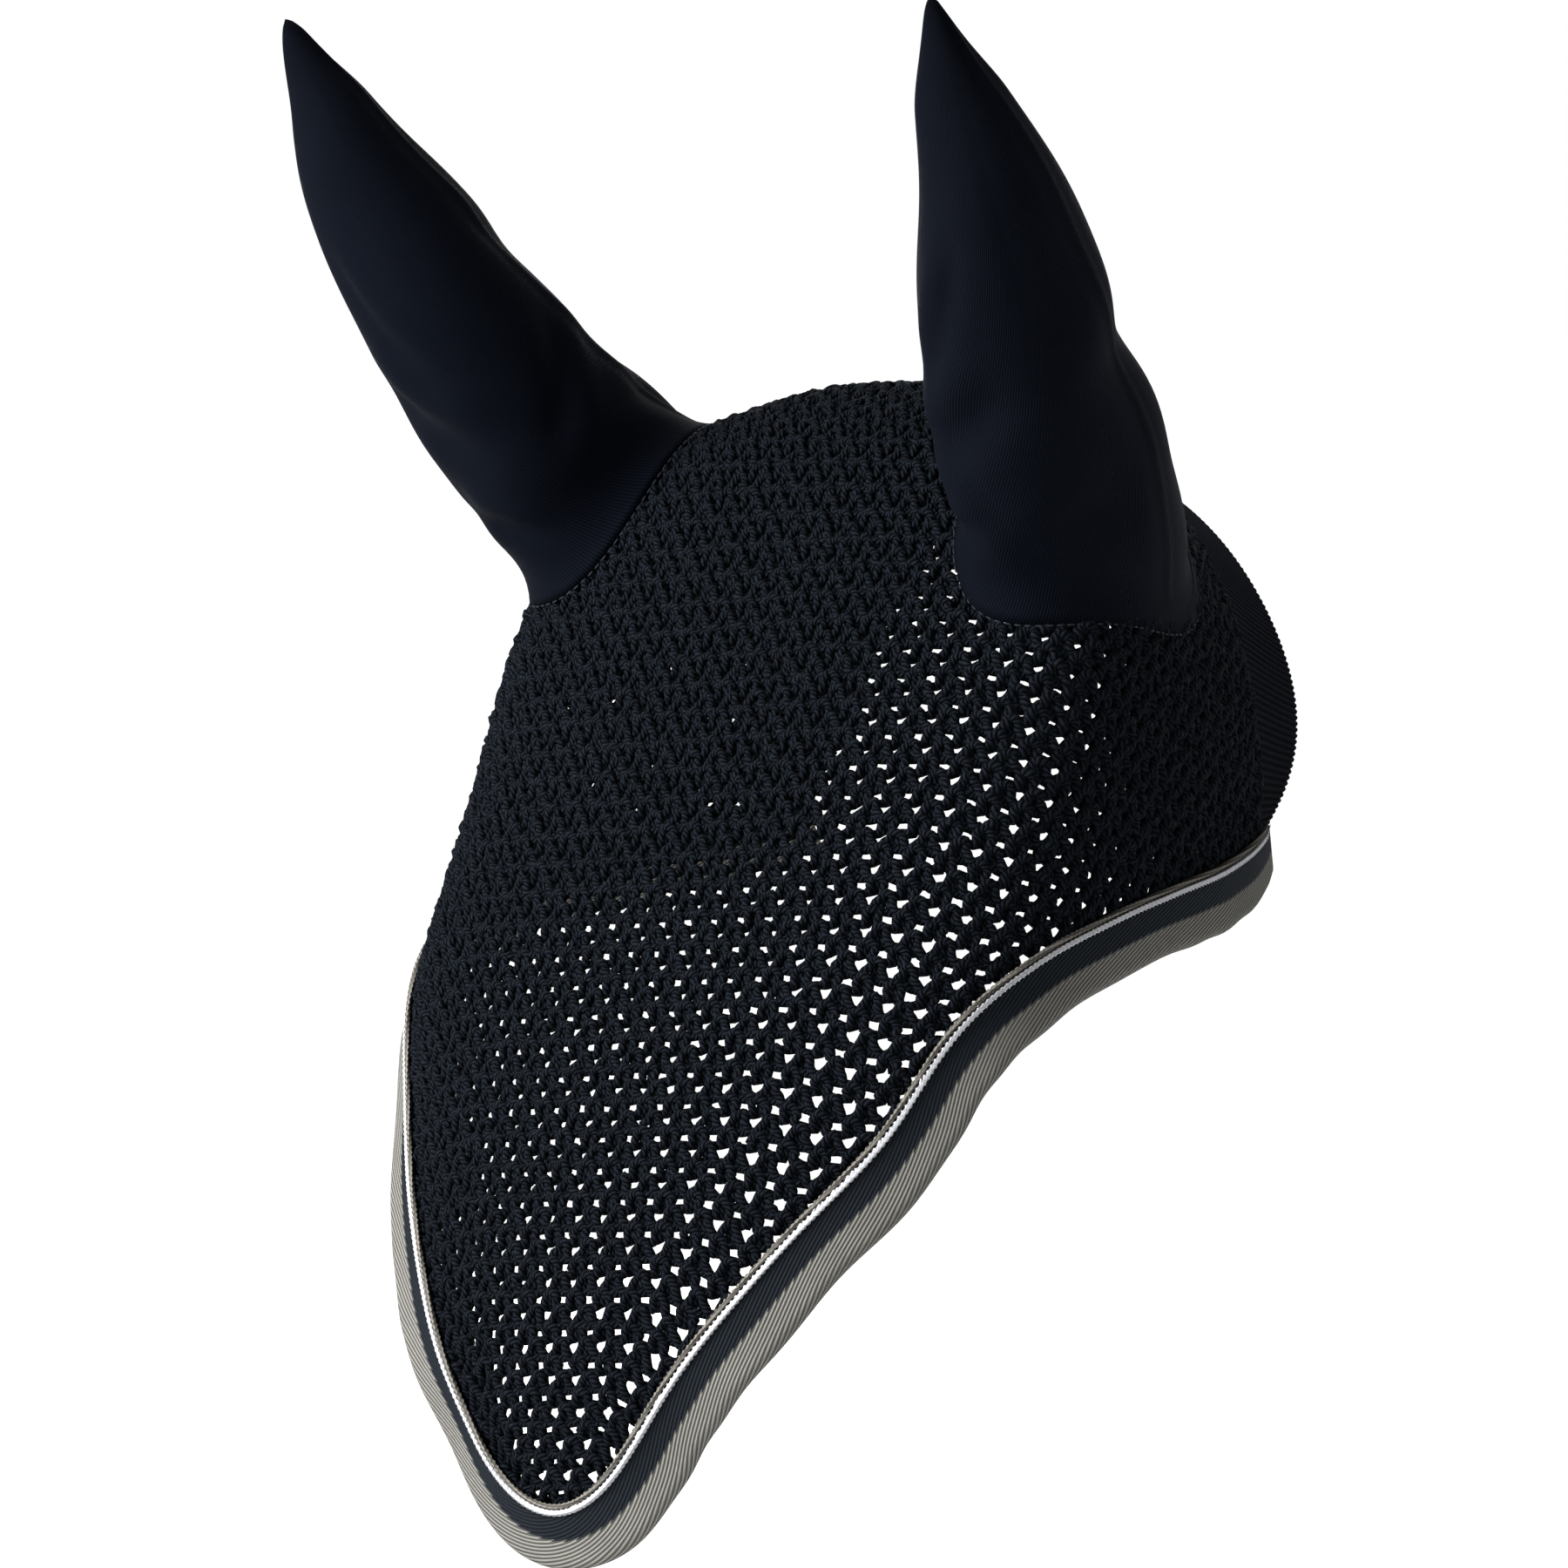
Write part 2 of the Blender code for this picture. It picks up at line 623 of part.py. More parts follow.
def ear_hem(hand, side, material, thread):
    """The turned hem that is sewn down on the crochet round the ear hole, and its stitches."""
    inner_grow = 2 * SEWN_GAP
    grows = [HEM_WIDTH / 2, HEM_WIDTH]
    lower = [sleeve_loop(side, 0.0, inner_grow)]
    lower += [hem_loop(side, grow, LAID_LIFT) for grow in grows]
    upper = [sleeve_loop(side, hem_rise_share(), inner_grow)]
    upper += [hem_loop(side, grow, LAID_LIFT + HEM_THICKNESS) for grow in grows]
    mesh_object(hand + "_ear_hem", ring(lower, upper), material)
    rise = LAID_LIFT + HEM_THICKNESS + LAID_LIFT + THREAD_RADIUS
    route = hem_loop(side, HEM_WIDTH - HEM_STITCH_INSET, rise)
    tube(hand + "_ear_hem_stitching", route, THREAD_RADIUS, thread, closed=True)


def ear(hand, side, twill, thread):
    pivot = bpy.data.objects.new(hand + "_ear_pivot", None)
    pivot.location = on_side(side, [ear_base()])[0]
    bpy.context.scene.collection.objects.link(pivot)
    ear_foot(hand + "_ear_foot", side, twill)
    ear_panel(hand + "_ear_front_panel", side, 0.0, twill, pivot)
    ear_panel(hand + "_ear_back_panel", side, math.pi, twill, pivot)
    ear_seam(hand + "_ear_outer_seam", side, 0.0, thread, pivot)
    ear_seam(hand + "_ear_inner_seam", side, math.pi, thread, pivot)
    ear_hem(hand, side, twill, thread)


def main():
    for old in list(bpy.data.objects):
        bpy.data.objects.remove(old)
    yarn, rib, twill, tape, white, grey, thread = (fabric(*values) for values in FABRICS)
    skin = hood_skin()
    frames = edge_frames()
    crochet = crochet_hood(frames, yarn)
    rib_poll_band(frames, rib)
    rib_seam_thread(thread)
    edge_binding(frames, tape)
    binding_stitching(frames, thread)
    edge_cords(frames, skin, white, grey)
    for hand, side in (("left", 1), ("right", -1)):
        cut_ear_hole(side, crochet)
        ear(hand, side, twill, thread)


main()
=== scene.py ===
"""Looks of the ear bonnet: crocheted yarn, rib-knit poll band, twill ear sleeves, folded tape
binding with its two cords, and the sewing. The hood form repeats the sizes of the CAD part.
"""

import math

import bmesh
import bpy
import numpy as np
from mathutils import Matrix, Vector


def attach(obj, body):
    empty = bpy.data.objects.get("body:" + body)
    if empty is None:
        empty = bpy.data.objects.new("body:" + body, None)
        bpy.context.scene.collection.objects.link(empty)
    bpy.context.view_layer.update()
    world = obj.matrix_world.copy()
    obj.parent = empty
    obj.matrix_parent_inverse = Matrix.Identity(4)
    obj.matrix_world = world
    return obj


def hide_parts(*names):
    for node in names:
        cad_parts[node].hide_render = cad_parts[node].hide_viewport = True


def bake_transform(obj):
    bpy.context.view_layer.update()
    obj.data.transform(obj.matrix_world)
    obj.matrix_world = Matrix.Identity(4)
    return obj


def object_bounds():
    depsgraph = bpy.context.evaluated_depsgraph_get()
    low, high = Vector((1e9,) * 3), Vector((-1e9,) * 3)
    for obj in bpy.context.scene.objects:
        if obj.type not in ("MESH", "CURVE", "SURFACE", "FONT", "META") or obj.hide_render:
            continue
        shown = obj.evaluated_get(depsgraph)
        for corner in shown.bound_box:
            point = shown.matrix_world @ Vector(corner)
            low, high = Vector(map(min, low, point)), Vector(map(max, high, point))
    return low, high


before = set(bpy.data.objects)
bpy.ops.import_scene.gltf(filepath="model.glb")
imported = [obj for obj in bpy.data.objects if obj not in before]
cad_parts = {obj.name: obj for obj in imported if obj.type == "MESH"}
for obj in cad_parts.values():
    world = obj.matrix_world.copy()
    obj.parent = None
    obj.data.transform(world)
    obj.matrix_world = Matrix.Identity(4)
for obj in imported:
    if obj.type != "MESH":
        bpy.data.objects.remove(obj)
cad_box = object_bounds()

# Hood form, as in the CAD part, in metres
FACE_DROP = 0.306
FACE_REACH = 0.134
HALF_WIDTH = 0.108
SIDE_DROP = 0.139
BACK_REACH = 0.104
BACK_SWELL = 0.013
STATIONS = (
    # forward, drop, half-width, edge forward, edge drop, turn, squareness
    (0.972, 1.000, 0.250, 0.966, 0.894, 30.0, 2.0),
    (1.000, 0.882, 0.426, 0.945, 0.731, 52.0, 2.0),
    (0.970, 0.778, 0.620, 0.840, 0.546, 56.0, 2.0),
    (0.878, 0.654, 0.800, 0.695, 0.371, 62.0, 2.2),
    (0.772, 0.539, 0.917, 0.575, 0.192, 70.0, 2.6),
    (0.645, 0.425, 0.981, 0.395, 0.089, 78.0, 3.1),
    (0.495, 0.301, 1.000, 0.164, 0.030, 84.0, 3.4),
    (0.330, 0.180, 0.985, -0.058, 0.000, 87.0, 3.3),
    (0.135, 0.052, 0.945, -0.308, -0.019, 89.0, 2.9),
    (-0.170, -0.007, 0.888, -0.519, -0.042, 90.0, 2.5),
    (-0.520, 0.010, 0.835, -0.664, -0.066, 90.0, 2.2),
    (-1.000, 0.072, 0.796, -0.750, -0.090, 90.0, 2.0),
)
LAST_STATION = len(STATIONS) - 1
RIB_STATION = LAST_STATION - 1
SWELL_STATION = LAST_STATION - 3
NORMAL_STEP = 0.02
NORMAL_FIRST, NORMAL_LAST = 0.4, 0.94  # station and place up to which normals are measured

# Walls and edges, as in the CAD part
CROCHET_WALL = 0.0030
TWILL_WALL = 0.0010
TAPE_WALL = 0.0009
TAPE_ROOM = 0.00075
LAID_LIFT = 0.0009
BINDING_WIDTH = 0.0150
WHITE_CORD_RADIUS = 0.00125
GREY_CORD_RADIUS = 0.00110
HEM_WIDTH = 0.0080

# Ear sleeves, as in the CAD part
EAR_LENGTH = 0.177
EAR_BASE_SIDE = 0.0255
EAR_BASE_FORE = 0.0425
BASE_COS, BASE_SIN = math.cos(math.radians(-29.0)), math.sin(math.radians(-29.0))
EAR_SIDE_RADIUS = 0.0335
EAR_FORE_RADIUS = 0.046
EAR_TURN = math.radians(-12.5)
EAR_TIP_FLATNESS = 0.58
EAR_PLACE = (8.15, 0.505)
EAR_BOW = (0.008, 0.0075)
EAR_BLEND_SHARE = 0.32


# Lines and shapes


def unit(vectors):
    vectors = np.asarray(vectors, float)
    return vectors / np.linalg.norm(vectors, axis=-1, keepdims=True)


def smooth(low, high, values):
    """An eased step from 0 at low to 1 at high."""
    share = np.clip((values - low) / (high - low), 0.0, 1.0)
    return share * share * (3 - 2 * share)


def bell(off, width):
    return np.exp(-((off / width) ** 2))


def catmull_rom(before, here, there, after, t):
    """A share t of the way from here to there on a smooth curve."""
    return 0.5 * (
        2 * here
        + (there - before) * t
        + (2 * before - 5 * here + 4 * there - after) * t**2
        + (3 * here - before - 3 * there + after) * t**3
    )


def carried_on(rows):
    """The rows with one more in line at each end."""
    return np.concatenate([[2 * rows[0] - rows[1]], rows, [2 * rows[-1] - rows[-2]]])


def run_of(points):
    """Distance along a line of points from its first one."""
    return np.concatenate([[0.0], np.cumsum(np.linalg.norm(np.diff(points, axis=0), axis=1))])


def resampled(places, run, points):
    """Points at other places along a line whose points lie at run."""
    return np.stack([np.interp(places, run, column) for column in points.T], axis=1)


def evened(values, width):
    """A running mean along the first axis, with the ends held."""
    ends = np.repeat(values[:1], width, 0), np.repeat(values[-1:], width, 0)
    padded = np.concatenate([ends[0], values, ends[1]])
    total = np.cumsum(np.concatenate([np.zeros_like(padded[:1]), padded]), axis=0)
    return (total[2 * width + 1 :] - total[: -2 * width - 1]) / (2 * width + 1)


def half_turn(count):
    """Angles round a fold, from leaf to leaf."""
    return np.radians(np.linspace(90, -90, count))[1:-1]


# Hood form

EAR_RISES = (
    # lift, station and place, spreads and direction of the collar and the shoulder
    (0.009, (7.3, 0.60), (1.2, 0.24), unit((0.70, -0.45, 0.55))),
    (0.012, (8.4, 0.52), (1.6, 0.26), unit((0.60, 0.0, 0.80))),
)
EAR_LINE = unit((0.221, -0.80, 1.0))


def sized_stations():
    """The stations in metres and radians."""
    rows = np.array(STATIONS)
    for column in (0, 3):
        rows[:, column] *= np.where(rows[:, column] > 0, FACE_REACH, BACK_REACH)
    rows[:, 1] *= -FACE_DROP
    rows[:, 2] *= HALF_WIDTH
    rows[:, 4] = -SIDE_DROP - rows[:, 4] * (FACE_DROP - SIDE_DROP)
    rows[:, 5] = np.radians(rows[:, 5])
    return carried_on(rows)


SIZED_STATIONS = sized_stations()


def station_at(u):
    """The stations' sizes at each u."""
    i = np.clip(np.floor(u).astype(int), 0, LAST_STATION - 1)
    return catmull_rom(*(SIZED_STATIONS[i + k] for k in range(4)), (u - i)[:, None])


def hood_point(u, q):
    """Points of the middle of the hood's wall at stations u and lateral places q."""
    u, q = np.broadcast_arrays(np.asarray(u, float), np.asarray(q, float))
    shape = u.shape
    u, q = u.ravel(), q.ravel()
    forward, height, width, edge_forward, edge_height, turn, squareness = station_at(u).T
    power = 2.0 / squareness
    angle = turn * np.abs(q)
    across = (np.sin(angle) / np.sin(turn)) ** power
    fall = 1 - np.maximum(np.cos(angle), 0) ** power
    fall = fall / (1 - np.maximum(np.cos(turn), 0) ** power)
    rise = np.zeros((len(u), 3))
    for lift, (station, place), (long_spread, wide_spread), direction in EAR_RISES:
        spread = ((u - station) / long_spread) ** 2 + ((np.abs(q) - place) / wide_spread) ** 2
        rise += (lift * np.exp(-spread))[:, None] * direction
    share = np.maximum(u - SWELL_STATION, 0.0) / (LAST_STATION - SWELL_STATION)
    swell = BACK_SWELL * share**2 * np.sin(np.pi * np.abs(q) ** 3)
    x = np.copysign((width + rise[:, 0]) * across, q)
    y = -(forward + fall * (edge_forward - forward)) + rise[:, 1] + swell
    z = height + fall * (edge_height - height) + rise[:, 2]
    return np.stack([x, y, z], axis=-1).reshape(*shape, 3)


def hood_steps(u, q):
    """How far two small steps of station and of place go."""
    along = hood_point(u + NORMAL_STEP, q) - hood_point(u - NORMAL_STEP, q)
    across = hood_point(u, q + NORMAL_STEP) - hood_point(u, q - NORMAL_STEP)
    return along, across


def hood_normal(u, q):
    """Outward unit normals of the hood form."""
    u = np.clip(u, NORMAL_FIRST, LAST_STATION - NORMAL_STEP)
    q = np.clip(q, -NORMAL_LAST, NORMAL_LAST)
    along, across = hood_steps(u, q)
    return unit(np.cross(across, along))


EAR_BASE = hood_point(*EAR_PLACE)
# Metres for one unit of station and of lateral place at the ear's base
BASE_LONG_STEP, BASE_WIDE_STEP = (
    np.linalg.norm(step) / (2 * NORMAL_STEP) for step in hood_steps(*EAR_PLACE)
)


# Meshes and Geometry Nodes


def add_object(name, data):
    made = bpy.data.objects.new(name, data)
    bpy.context.scene.collection.objects.link(made)
    return made


def on_side(side, points):
    return points * (side, 1.0, 1.0)


def cloth_places(along, across):
    """Metres along and across for each point of a cloth."""
    return np.stack(np.broadcast_arrays(along, across), axis=-1)


def cloth(name, front, back, places, finish, wrapped=False, side=1):
    """A closed piece between two like grids of points.

    places becomes the UV map. A wrapped grid's last column lies on its first. Side -1 mirrors."""
    rows, columns = front.shape[:2]
    index = np.arange(2 * rows * columns).reshape(2, rows, columns)
    quads = []
    for grid, order in zip(index, (1, -1)):
        quad = [grid[:-1, :-1], grid[:-1, 1:], grid[1:, 1:], grid[1:, :-1]]
        quads.append(np.stack(quad[::order], axis=-1).reshape(-1, 4))
    borders = [index[:, 0, :], index[:, -1, :]]
    if not wrapped:
        borders += [index[:, :, 0], index[:, :, -1]]
    for first, second in borders:
        quads.append(np.stack([first[:-1], first[1:], second[1:], second[:-1]], axis=-1))
    faces = np.concatenate(quads)
    points = on_side(side, np.concatenate([front.reshape(-1, 3), back.reshape(-1, 3)]))
    mesh = bpy.data.meshes.new(name)
    mesh.from_pydata(points, [], faces.tolist())
    layer = mesh.uv_layers.new(name="cloth")
    flat = np.tile(places.reshape(-1, 2), (2, 1))
    layer.data.foreach_set("uv", flat[faces.ravel()].astype(np.float32).ravel())
    builder = bmesh.new()
    builder.from_mesh(mesh)
    bmesh.ops.remove_doubles(builder, verts=builder.verts, dist=1e-6)
    bmesh.ops.recalc_face_normals(builder, faces=builder.faces)
    builder.to_mesh(mesh)
    builder.free()
    mesh.shade_smooth()
    mesh.materials.append(finish)
    return add_object(name, mesh)


def fill(tree, socket, value):
    """Links an input to a socket, or sets its value."""
    if isinstance(value, bpy.types.NodeSocket):
        tree.links.new(value, socket)
    else:
        socket.default_value = (*value, 1.0) if socket.type == "RGBA" else value


def node(tree, kind, settings=None, **inputs):
    """A node of the tree's family or of full name; inputs go by name, or i and number."""
    made = tree.nodes.new(kind if "Node" in kind else tree.bl_idname.replace("Tree", kind))
    for key, value in (settings or {}).items():
        setattr(made, key, value)
    for label, value in inputs.items():
        key = int(label[1:]) if label[1:].isdigit() else label.replace("_", " ")
        fill(tree, made.inputs[key], value)
    return made


def output(tree, kind, settings=None, **inputs):
    """The first output of a new node."""
    return node(tree, kind, settings, **inputs).outputs[0]


def calc(tree, operation, *values):
    inputs = {f"i{k}": value for k, value in enumerate(values)}
    return output(tree, "ShaderNodeMath", {"operation": operation}, **inputs)


def new_tree(name, **sizes):
    """A Geometry Nodes tree with named inputs, what they give, and the guide's lines."""
    tree = bpy.data.node_groups.new(name, "GeometryNodeTree")
    tree.interface.new_socket("Geometry", in_out="INPUT", socket_type="NodeSocketGeometry")
    for label, kind in {**sizes, "Finish": "Material"}.items():
        tree.interface.new_socket(label, in_out="INPUT", socket_type="NodeSocket" + kind)
    tree.interface.new_socket("Geometry", in_out="OUTPUT", socket_type="NodeSocketGeometry")
    given = tree.nodes.new("NodeGroupInput").outputs
    return tree, given, output(tree, "MeshToCurve", Mesh=given["Geometry"])


def end_tree(tree, given, made):
    """The tree hands out one mesh, shaded smooth, with its finish."""
    real = output(tree, "RealizeInstances", Geometry=made)
    shaded = output(tree, "SetShadeSmooth", Geometry=real)
    done = output(tree, "SetMaterial", Geometry=shaded, Material=given["Finish"])
    tree.links.new(done, tree.nodes.new("NodeGroupOutput").inputs[0])
    return tree


def twisted_strand_tree():
    """Sweeps a turning section of plies along each line of a guide."""
    sizes = {"Radius": "Float", "Lobe": "Float", "Turn": "Float", "Sides": "Int"}
    tree, given, lines = new_tree("twisted_strand", **sizes)
    store = "StoreNamedAttribute"
    run = node(tree, "SplineParameter").outputs["Length"]
    tilt = calc(tree, "MULTIPLY", run, given["Turn"])
    lines = output(tree, "SetCurveTilt", Curve=lines, Tilt=tilt)
    lines = output(tree, store, Geometry=lines, Name="run", Value=run)
    circle = "CurvePrimitiveCircle"
    section = output(tree, circle, Resolution=given["Sides"], Radius=given["Radius"])
    between = calc(tree, "MODULO", output(tree, "InputIndex"), 2.0)
    depth = calc(tree, "MULTIPLY", between, given["Lobe"])
    stand = calc(tree, "SUBTRACT", 1.0, depth)
    place = output(tree, "InputPosition")
    scale = {"operation": "SCALE"}
    scaled = output(tree, "ShaderNodeVectorMath", scale, Vector=place, Scale=stand)
    vector = {"data_type": "FLOAT_VECTOR"}
    section = output(tree, store, vector, Geometry=section, Name="around", Value=place)
    section = output(tree, "SetPosition", Geometry=section, Position=scaled)
    named = "InputNamedAttribute"
    full = node(tree, named, {"data_type": "FLOAT"}, Name="fullness").outputs["Attribute"]
    size = calc(tree, "ADD", full, 1.0)
    sweep = {"Curve": lines, "Profile_Curve": section, "Scale": size, "Fill_Caps": True}
    return end_tree(tree, given, output(tree, "CurveToMesh", **sweep))


def stitch_row_tree():
    """Sets single stitches, rounded and tapered, along each line of a guide."""
    sizes = {"Pitch": "Float", "Length": "Float", "Radius": "Float"}
    tree, given, lines = new_tree("stitch_row", **sizes)
    by_length = {"mode": "LENGTH"}
    points = node(tree, "CurveToPoints", by_length, Curve=lines, Length=given["Pitch"]).outputs
    bead = node(tree, "MeshUVSphere", Segments=6, Rings=4, Radius=1.0)
    half = calc(tree, "MULTIPLY", given["Length"], 0.5)
    thick = given["Radius"]
    size = output(tree, "ShaderNodeCombineXYZ", X=half, Y=thick, Z=thick)
    align = "FunctionNodeAlignRotationToVector"
    placed = output(
        tree,
        "InstanceOnPoints",
        Points=points["Points"],
        Instance=bead.outputs["Mesh"],
        Rotation=output(tree, align, {"axis": "X"}, Vector=points["Tangent"]),
        Scale=size,
    )
    return end_tree(tree, given, placed)


STRANDS, STITCHES = twisted_strand_tree(), stitch_row_tree()


def line_guide(name, lines, closed):
    """A mesh of edges only, one chain for each line of points.

    A fourth number of a point says how much fuller a strand is there."""
    edges, start = [], 0
    for line in lines:
        ends = np.arange(start, start + len(line))
        pairs = np.stack([ends[:-1], ends[1:]], axis=1)
        edges.append(np.concatenate([pairs, [[ends[-1], ends[0]]]]) if closed else pairs)
        start += len(line)
    points = np.concatenate(lines)
    mesh = bpy.data.meshes.new(name)
    mesh.from_pydata(points[:, :3], np.concatenate(edges).tolist(), [])
    full = mesh.attributes.new("fullness", "FLOAT", "POINT")
    if points.shape[1] > 3:
        full.data.foreach_set("value", points[:, 3].astype(np.float32))
    return mesh


def grown(name, lines, tree, closed=False, **sizes):
    """A mesh piece that a Geometry Nodes tree makes along lines of points."""
    guide = line_guide(name, lines, closed)
    helper = add_object(name + "_guide", guide)
    modifier = helper.modifiers.new(tree.name, "NODES")
    modifier.node_group = tree
    for item in tree.interface.items_tree:
        if item.in_out == "INPUT" and item.name in sizes:
            modifier[item.identifier] = sizes[item.name]
    graph = bpy.context.evaluated_depsgraph_get()
    mesh = bpy.data.meshes.new_from_object(helper.evaluated_get(graph))
    bpy.data.objects.remove(helper)
    bpy.data.meshes.remove(guide)
    mesh.name = name
    return add_object(name, mesh)


def settle(piece, slot, *nodes, ear=None, bend=None):
    """The piece rides on the hood, or for an ear keeps its place with its transform baked in, and
    hides the CAD nodes it replaces.
    """
    if ear:
        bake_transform(piece)
    else:
        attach(piece, "hood")
    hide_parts(*nodes)
    return piece


# Finishes

PLIES = 3


def new_finish(name, roughness, sheen=0.0, gloss=0.1):
    """A material, its node tree and the coordinates that it can use."""
    material = bpy.data.materials.new(name)
    material.use_nodes = True
    tree = material.node_tree
    inputs = tree.nodes["Principled BSDF"].inputs
    fill(tree, inputs["Roughness"], roughness)
    fill(tree, inputs["Specular IOR Level"], gloss)
    fill(tree, inputs["Sheen Weight"], sheen)
    fill(tree, inputs["Sheen Tint"], (0.55, 0.60, 0.75))
    return material, tree, node(tree, "TexCoord").outputs


def finished(material, colour, height=None, relief=0.0, strength=1.0):
    """The material with its colour, and its relief in metres."""
    tree = material.node_tree
    inputs = tree.nodes["Principled BSDF"].inputs
    fill(tree, inputs["Base Color"], colour)
    if height is not None:
        bump = output(tree, "Bump", Height=height, Distance=relief, Strength=strength)
        fill(tree, inputs["Normal"], bump)
    return material


def mixed(tree, factor, first, second):
    """A colour between two colours or sockets."""
    colours = {"data_type": "RGBA"}
    return node(tree, "Mix", colours, Factor=factor, i6=first, i7=second).outputs[2]


def noise(tree, place, scale):
    return node(tree, "TexNoise", Vector=place, Scale=scale).outputs["Fac"]


def wave_height(tree, wave, phase):
    """A sine or cosine that goes from 0 to 1."""
    return calc(tree, "MULTIPLY_ADD", calc(tree, wave, phase), 0.5, 0.5)


def ply_ridges(tree, turn):
    """Height of the plies that wind round a strand."""
    run = node(tree, "Attribute", {"attribute_name": "run"}).outputs["Fac"]
    around = node(tree, "Attribute", {"attribute_name": "around"}).outputs["Vector"]
    parts = node(tree, "SeparateXYZ", Vector=around).outputs
    angle = calc(tree, "ARCTAN2", parts["Y"], parts["X"])
    wind = calc(tree, "MULTIPLY", run, PLIES * 2 * math.pi / turn)
    phase = calc(tree, "MULTIPLY_ADD", angle, float(PLIES), wind)
    return wave_height(tree, "SINE", phase)


# Length of a ply's turn, the colour of the painted shade in the grooves between plies, and dark and
# light dye
YARNS = {
    "navy_cotton_yarn": (
        0.0042, (0.0004, 0.0006, 0.0010), (0.0036, 0.0050, 0.0076), (0.0185, 0.0238, 0.0325)
    ),
    "white_cord_yarn": (0.0055, (0.62, 0.64, 0.70), (0.93, 0.93, 0.95), (0.98, 0.98, 0.98)),
    "grey_cord_yarn": (0.006, (0.10, 0.095, 0.085), (0.24, 0.225, 0.195), (0.36, 0.335, 0.295)),
}


def yarn_finish(name, turn, painted_groove_shade, dark, light):
    """Plied yarn: ridges that wind round it, with painted shade in the grooves between them, fibres
    and uneven dye.
    """
    material, tree, places = new_finish(name, 0.85, sheen=0.004, gloss=0.03)
    ridges = ply_ridges(tree, turn)
    fibre = noise(tree, places["Object"], 2600.0)
    dye = mixed(tree, noise(tree, places["Object"], 380.0), dark, light)
    height = calc(tree, "MULTIPLY_ADD", fibre, 0.5, ridges)
    # the ridges mix painted shade into the grooves between the plies
    return finished(material, mixed(tree, ridges, painted_groove_shade, dye), height, relief=0.00032)


YARN, WHITE_YARN, GREY_YARN = (yarn_finish(name, *look) for name, look in YARNS.items())


def twill_height(tree, places, pitch, lean):
    """Ribs of a twill, a wave that leans across the cloth, and the places' parts."""
    parts = node(tree, "SeparateXYZ", Vector=places).outputs
    aside = calc(tree, "MULTIPLY", parts["Y"], lean)
    run = calc(tree, "ADD", parts["X"], aside)
    phase = calc(tree, "MULTIPLY", run, 2 * math.pi / pitch)
    return wave_height(tree, "SINE", phase), parts


# Crochet

ROW_PITCH = 0.0045
STITCH_PITCH = 0.0090
ROW_FALL = 0.20  # fall of a row for each metre it runs back along the side
ROW_SKEW = 0.11  # its climb for each metre to the left
ROW_DROP = 0.006  # its further fall where the face turns into the side
ROW_SHIFT = 0.28  # of flared rows against square ones, in stitch pitches
PAIR_SHIFT = -0.14  # of a pair of rows against the pair below
CROCHET_PIECES = 6
SEED = 7
YARN_RADIUS = 0.00125
YARN_SIDES = 6
YARN_SAMPLES = 2  # points of its line for each point of a stitch
YARN_UNEVEN = 0.00022
YARN_SHORTEST = 4
SIDE_FULLNESS = 0.32  # how much fuller the yarn is below and behind the ears
HOLE_MARGIN = 0.003
PLAIN_STRAND = {"Lobe": 0.0, "Turn": 0.0}
# One stitch: place along the row and across it, in pitches, and lift in yarn radii.
# Square rows have upright legs, and flared rows have legs that spread towards the row below.
SQUARE_ROW = (
    (
        (-0.50, -0.44, -0.6), (-0.28, -0.45, 0.2), (-0.21, -0.22, 0.8), (-0.24, 0.06, 1.0),
        (-0.18, 0.34, 1.0), (-0.03, 0.54, 1.3), (0.18, 0.34, 0.9), (0.24, 0.04, 0.9),
        (0.21, -0.24, 0.7), (0.28, -0.44, 0.2),
    ),
    (
        (-0.50, -0.42, -1.0), (-0.11, -0.36, -0.5), (-0.07, 0.16, 0.1),
        (0.00, 0.50, -0.9), (0.07, 0.10, 0.0), (0.11, -0.38, -0.6),
    ),
    ((-0.50, 0.46, -0.2), (-0.25, 0.54, 0.3), (0.00, 0.50, -0.3), (0.25, 0.42, 0.3)),
)
FLARED_ROW = (
    (
        (-0.50, -0.54, 0.5), (-0.38, -0.44, 0.8), (-0.28, -0.18, 1.0), (-0.20, 0.10, 1.0),
        (-0.16, 0.38, 1.0), (0.00, 0.56, 1.2), (0.16, 0.38, 0.9), (0.20, 0.08, 0.9),
        (0.28, -0.20, 0.8), (0.38, -0.45, 0.7),
    ),
    (
        (-0.50, -0.56, -0.7), (-0.13, -0.40, -0.2), (-0.09, 0.10, 0.2),
        (0.02, 0.52, -0.9), (0.09, 0.08, 0.1), (0.13, -0.42, -0.3),
    ),
)


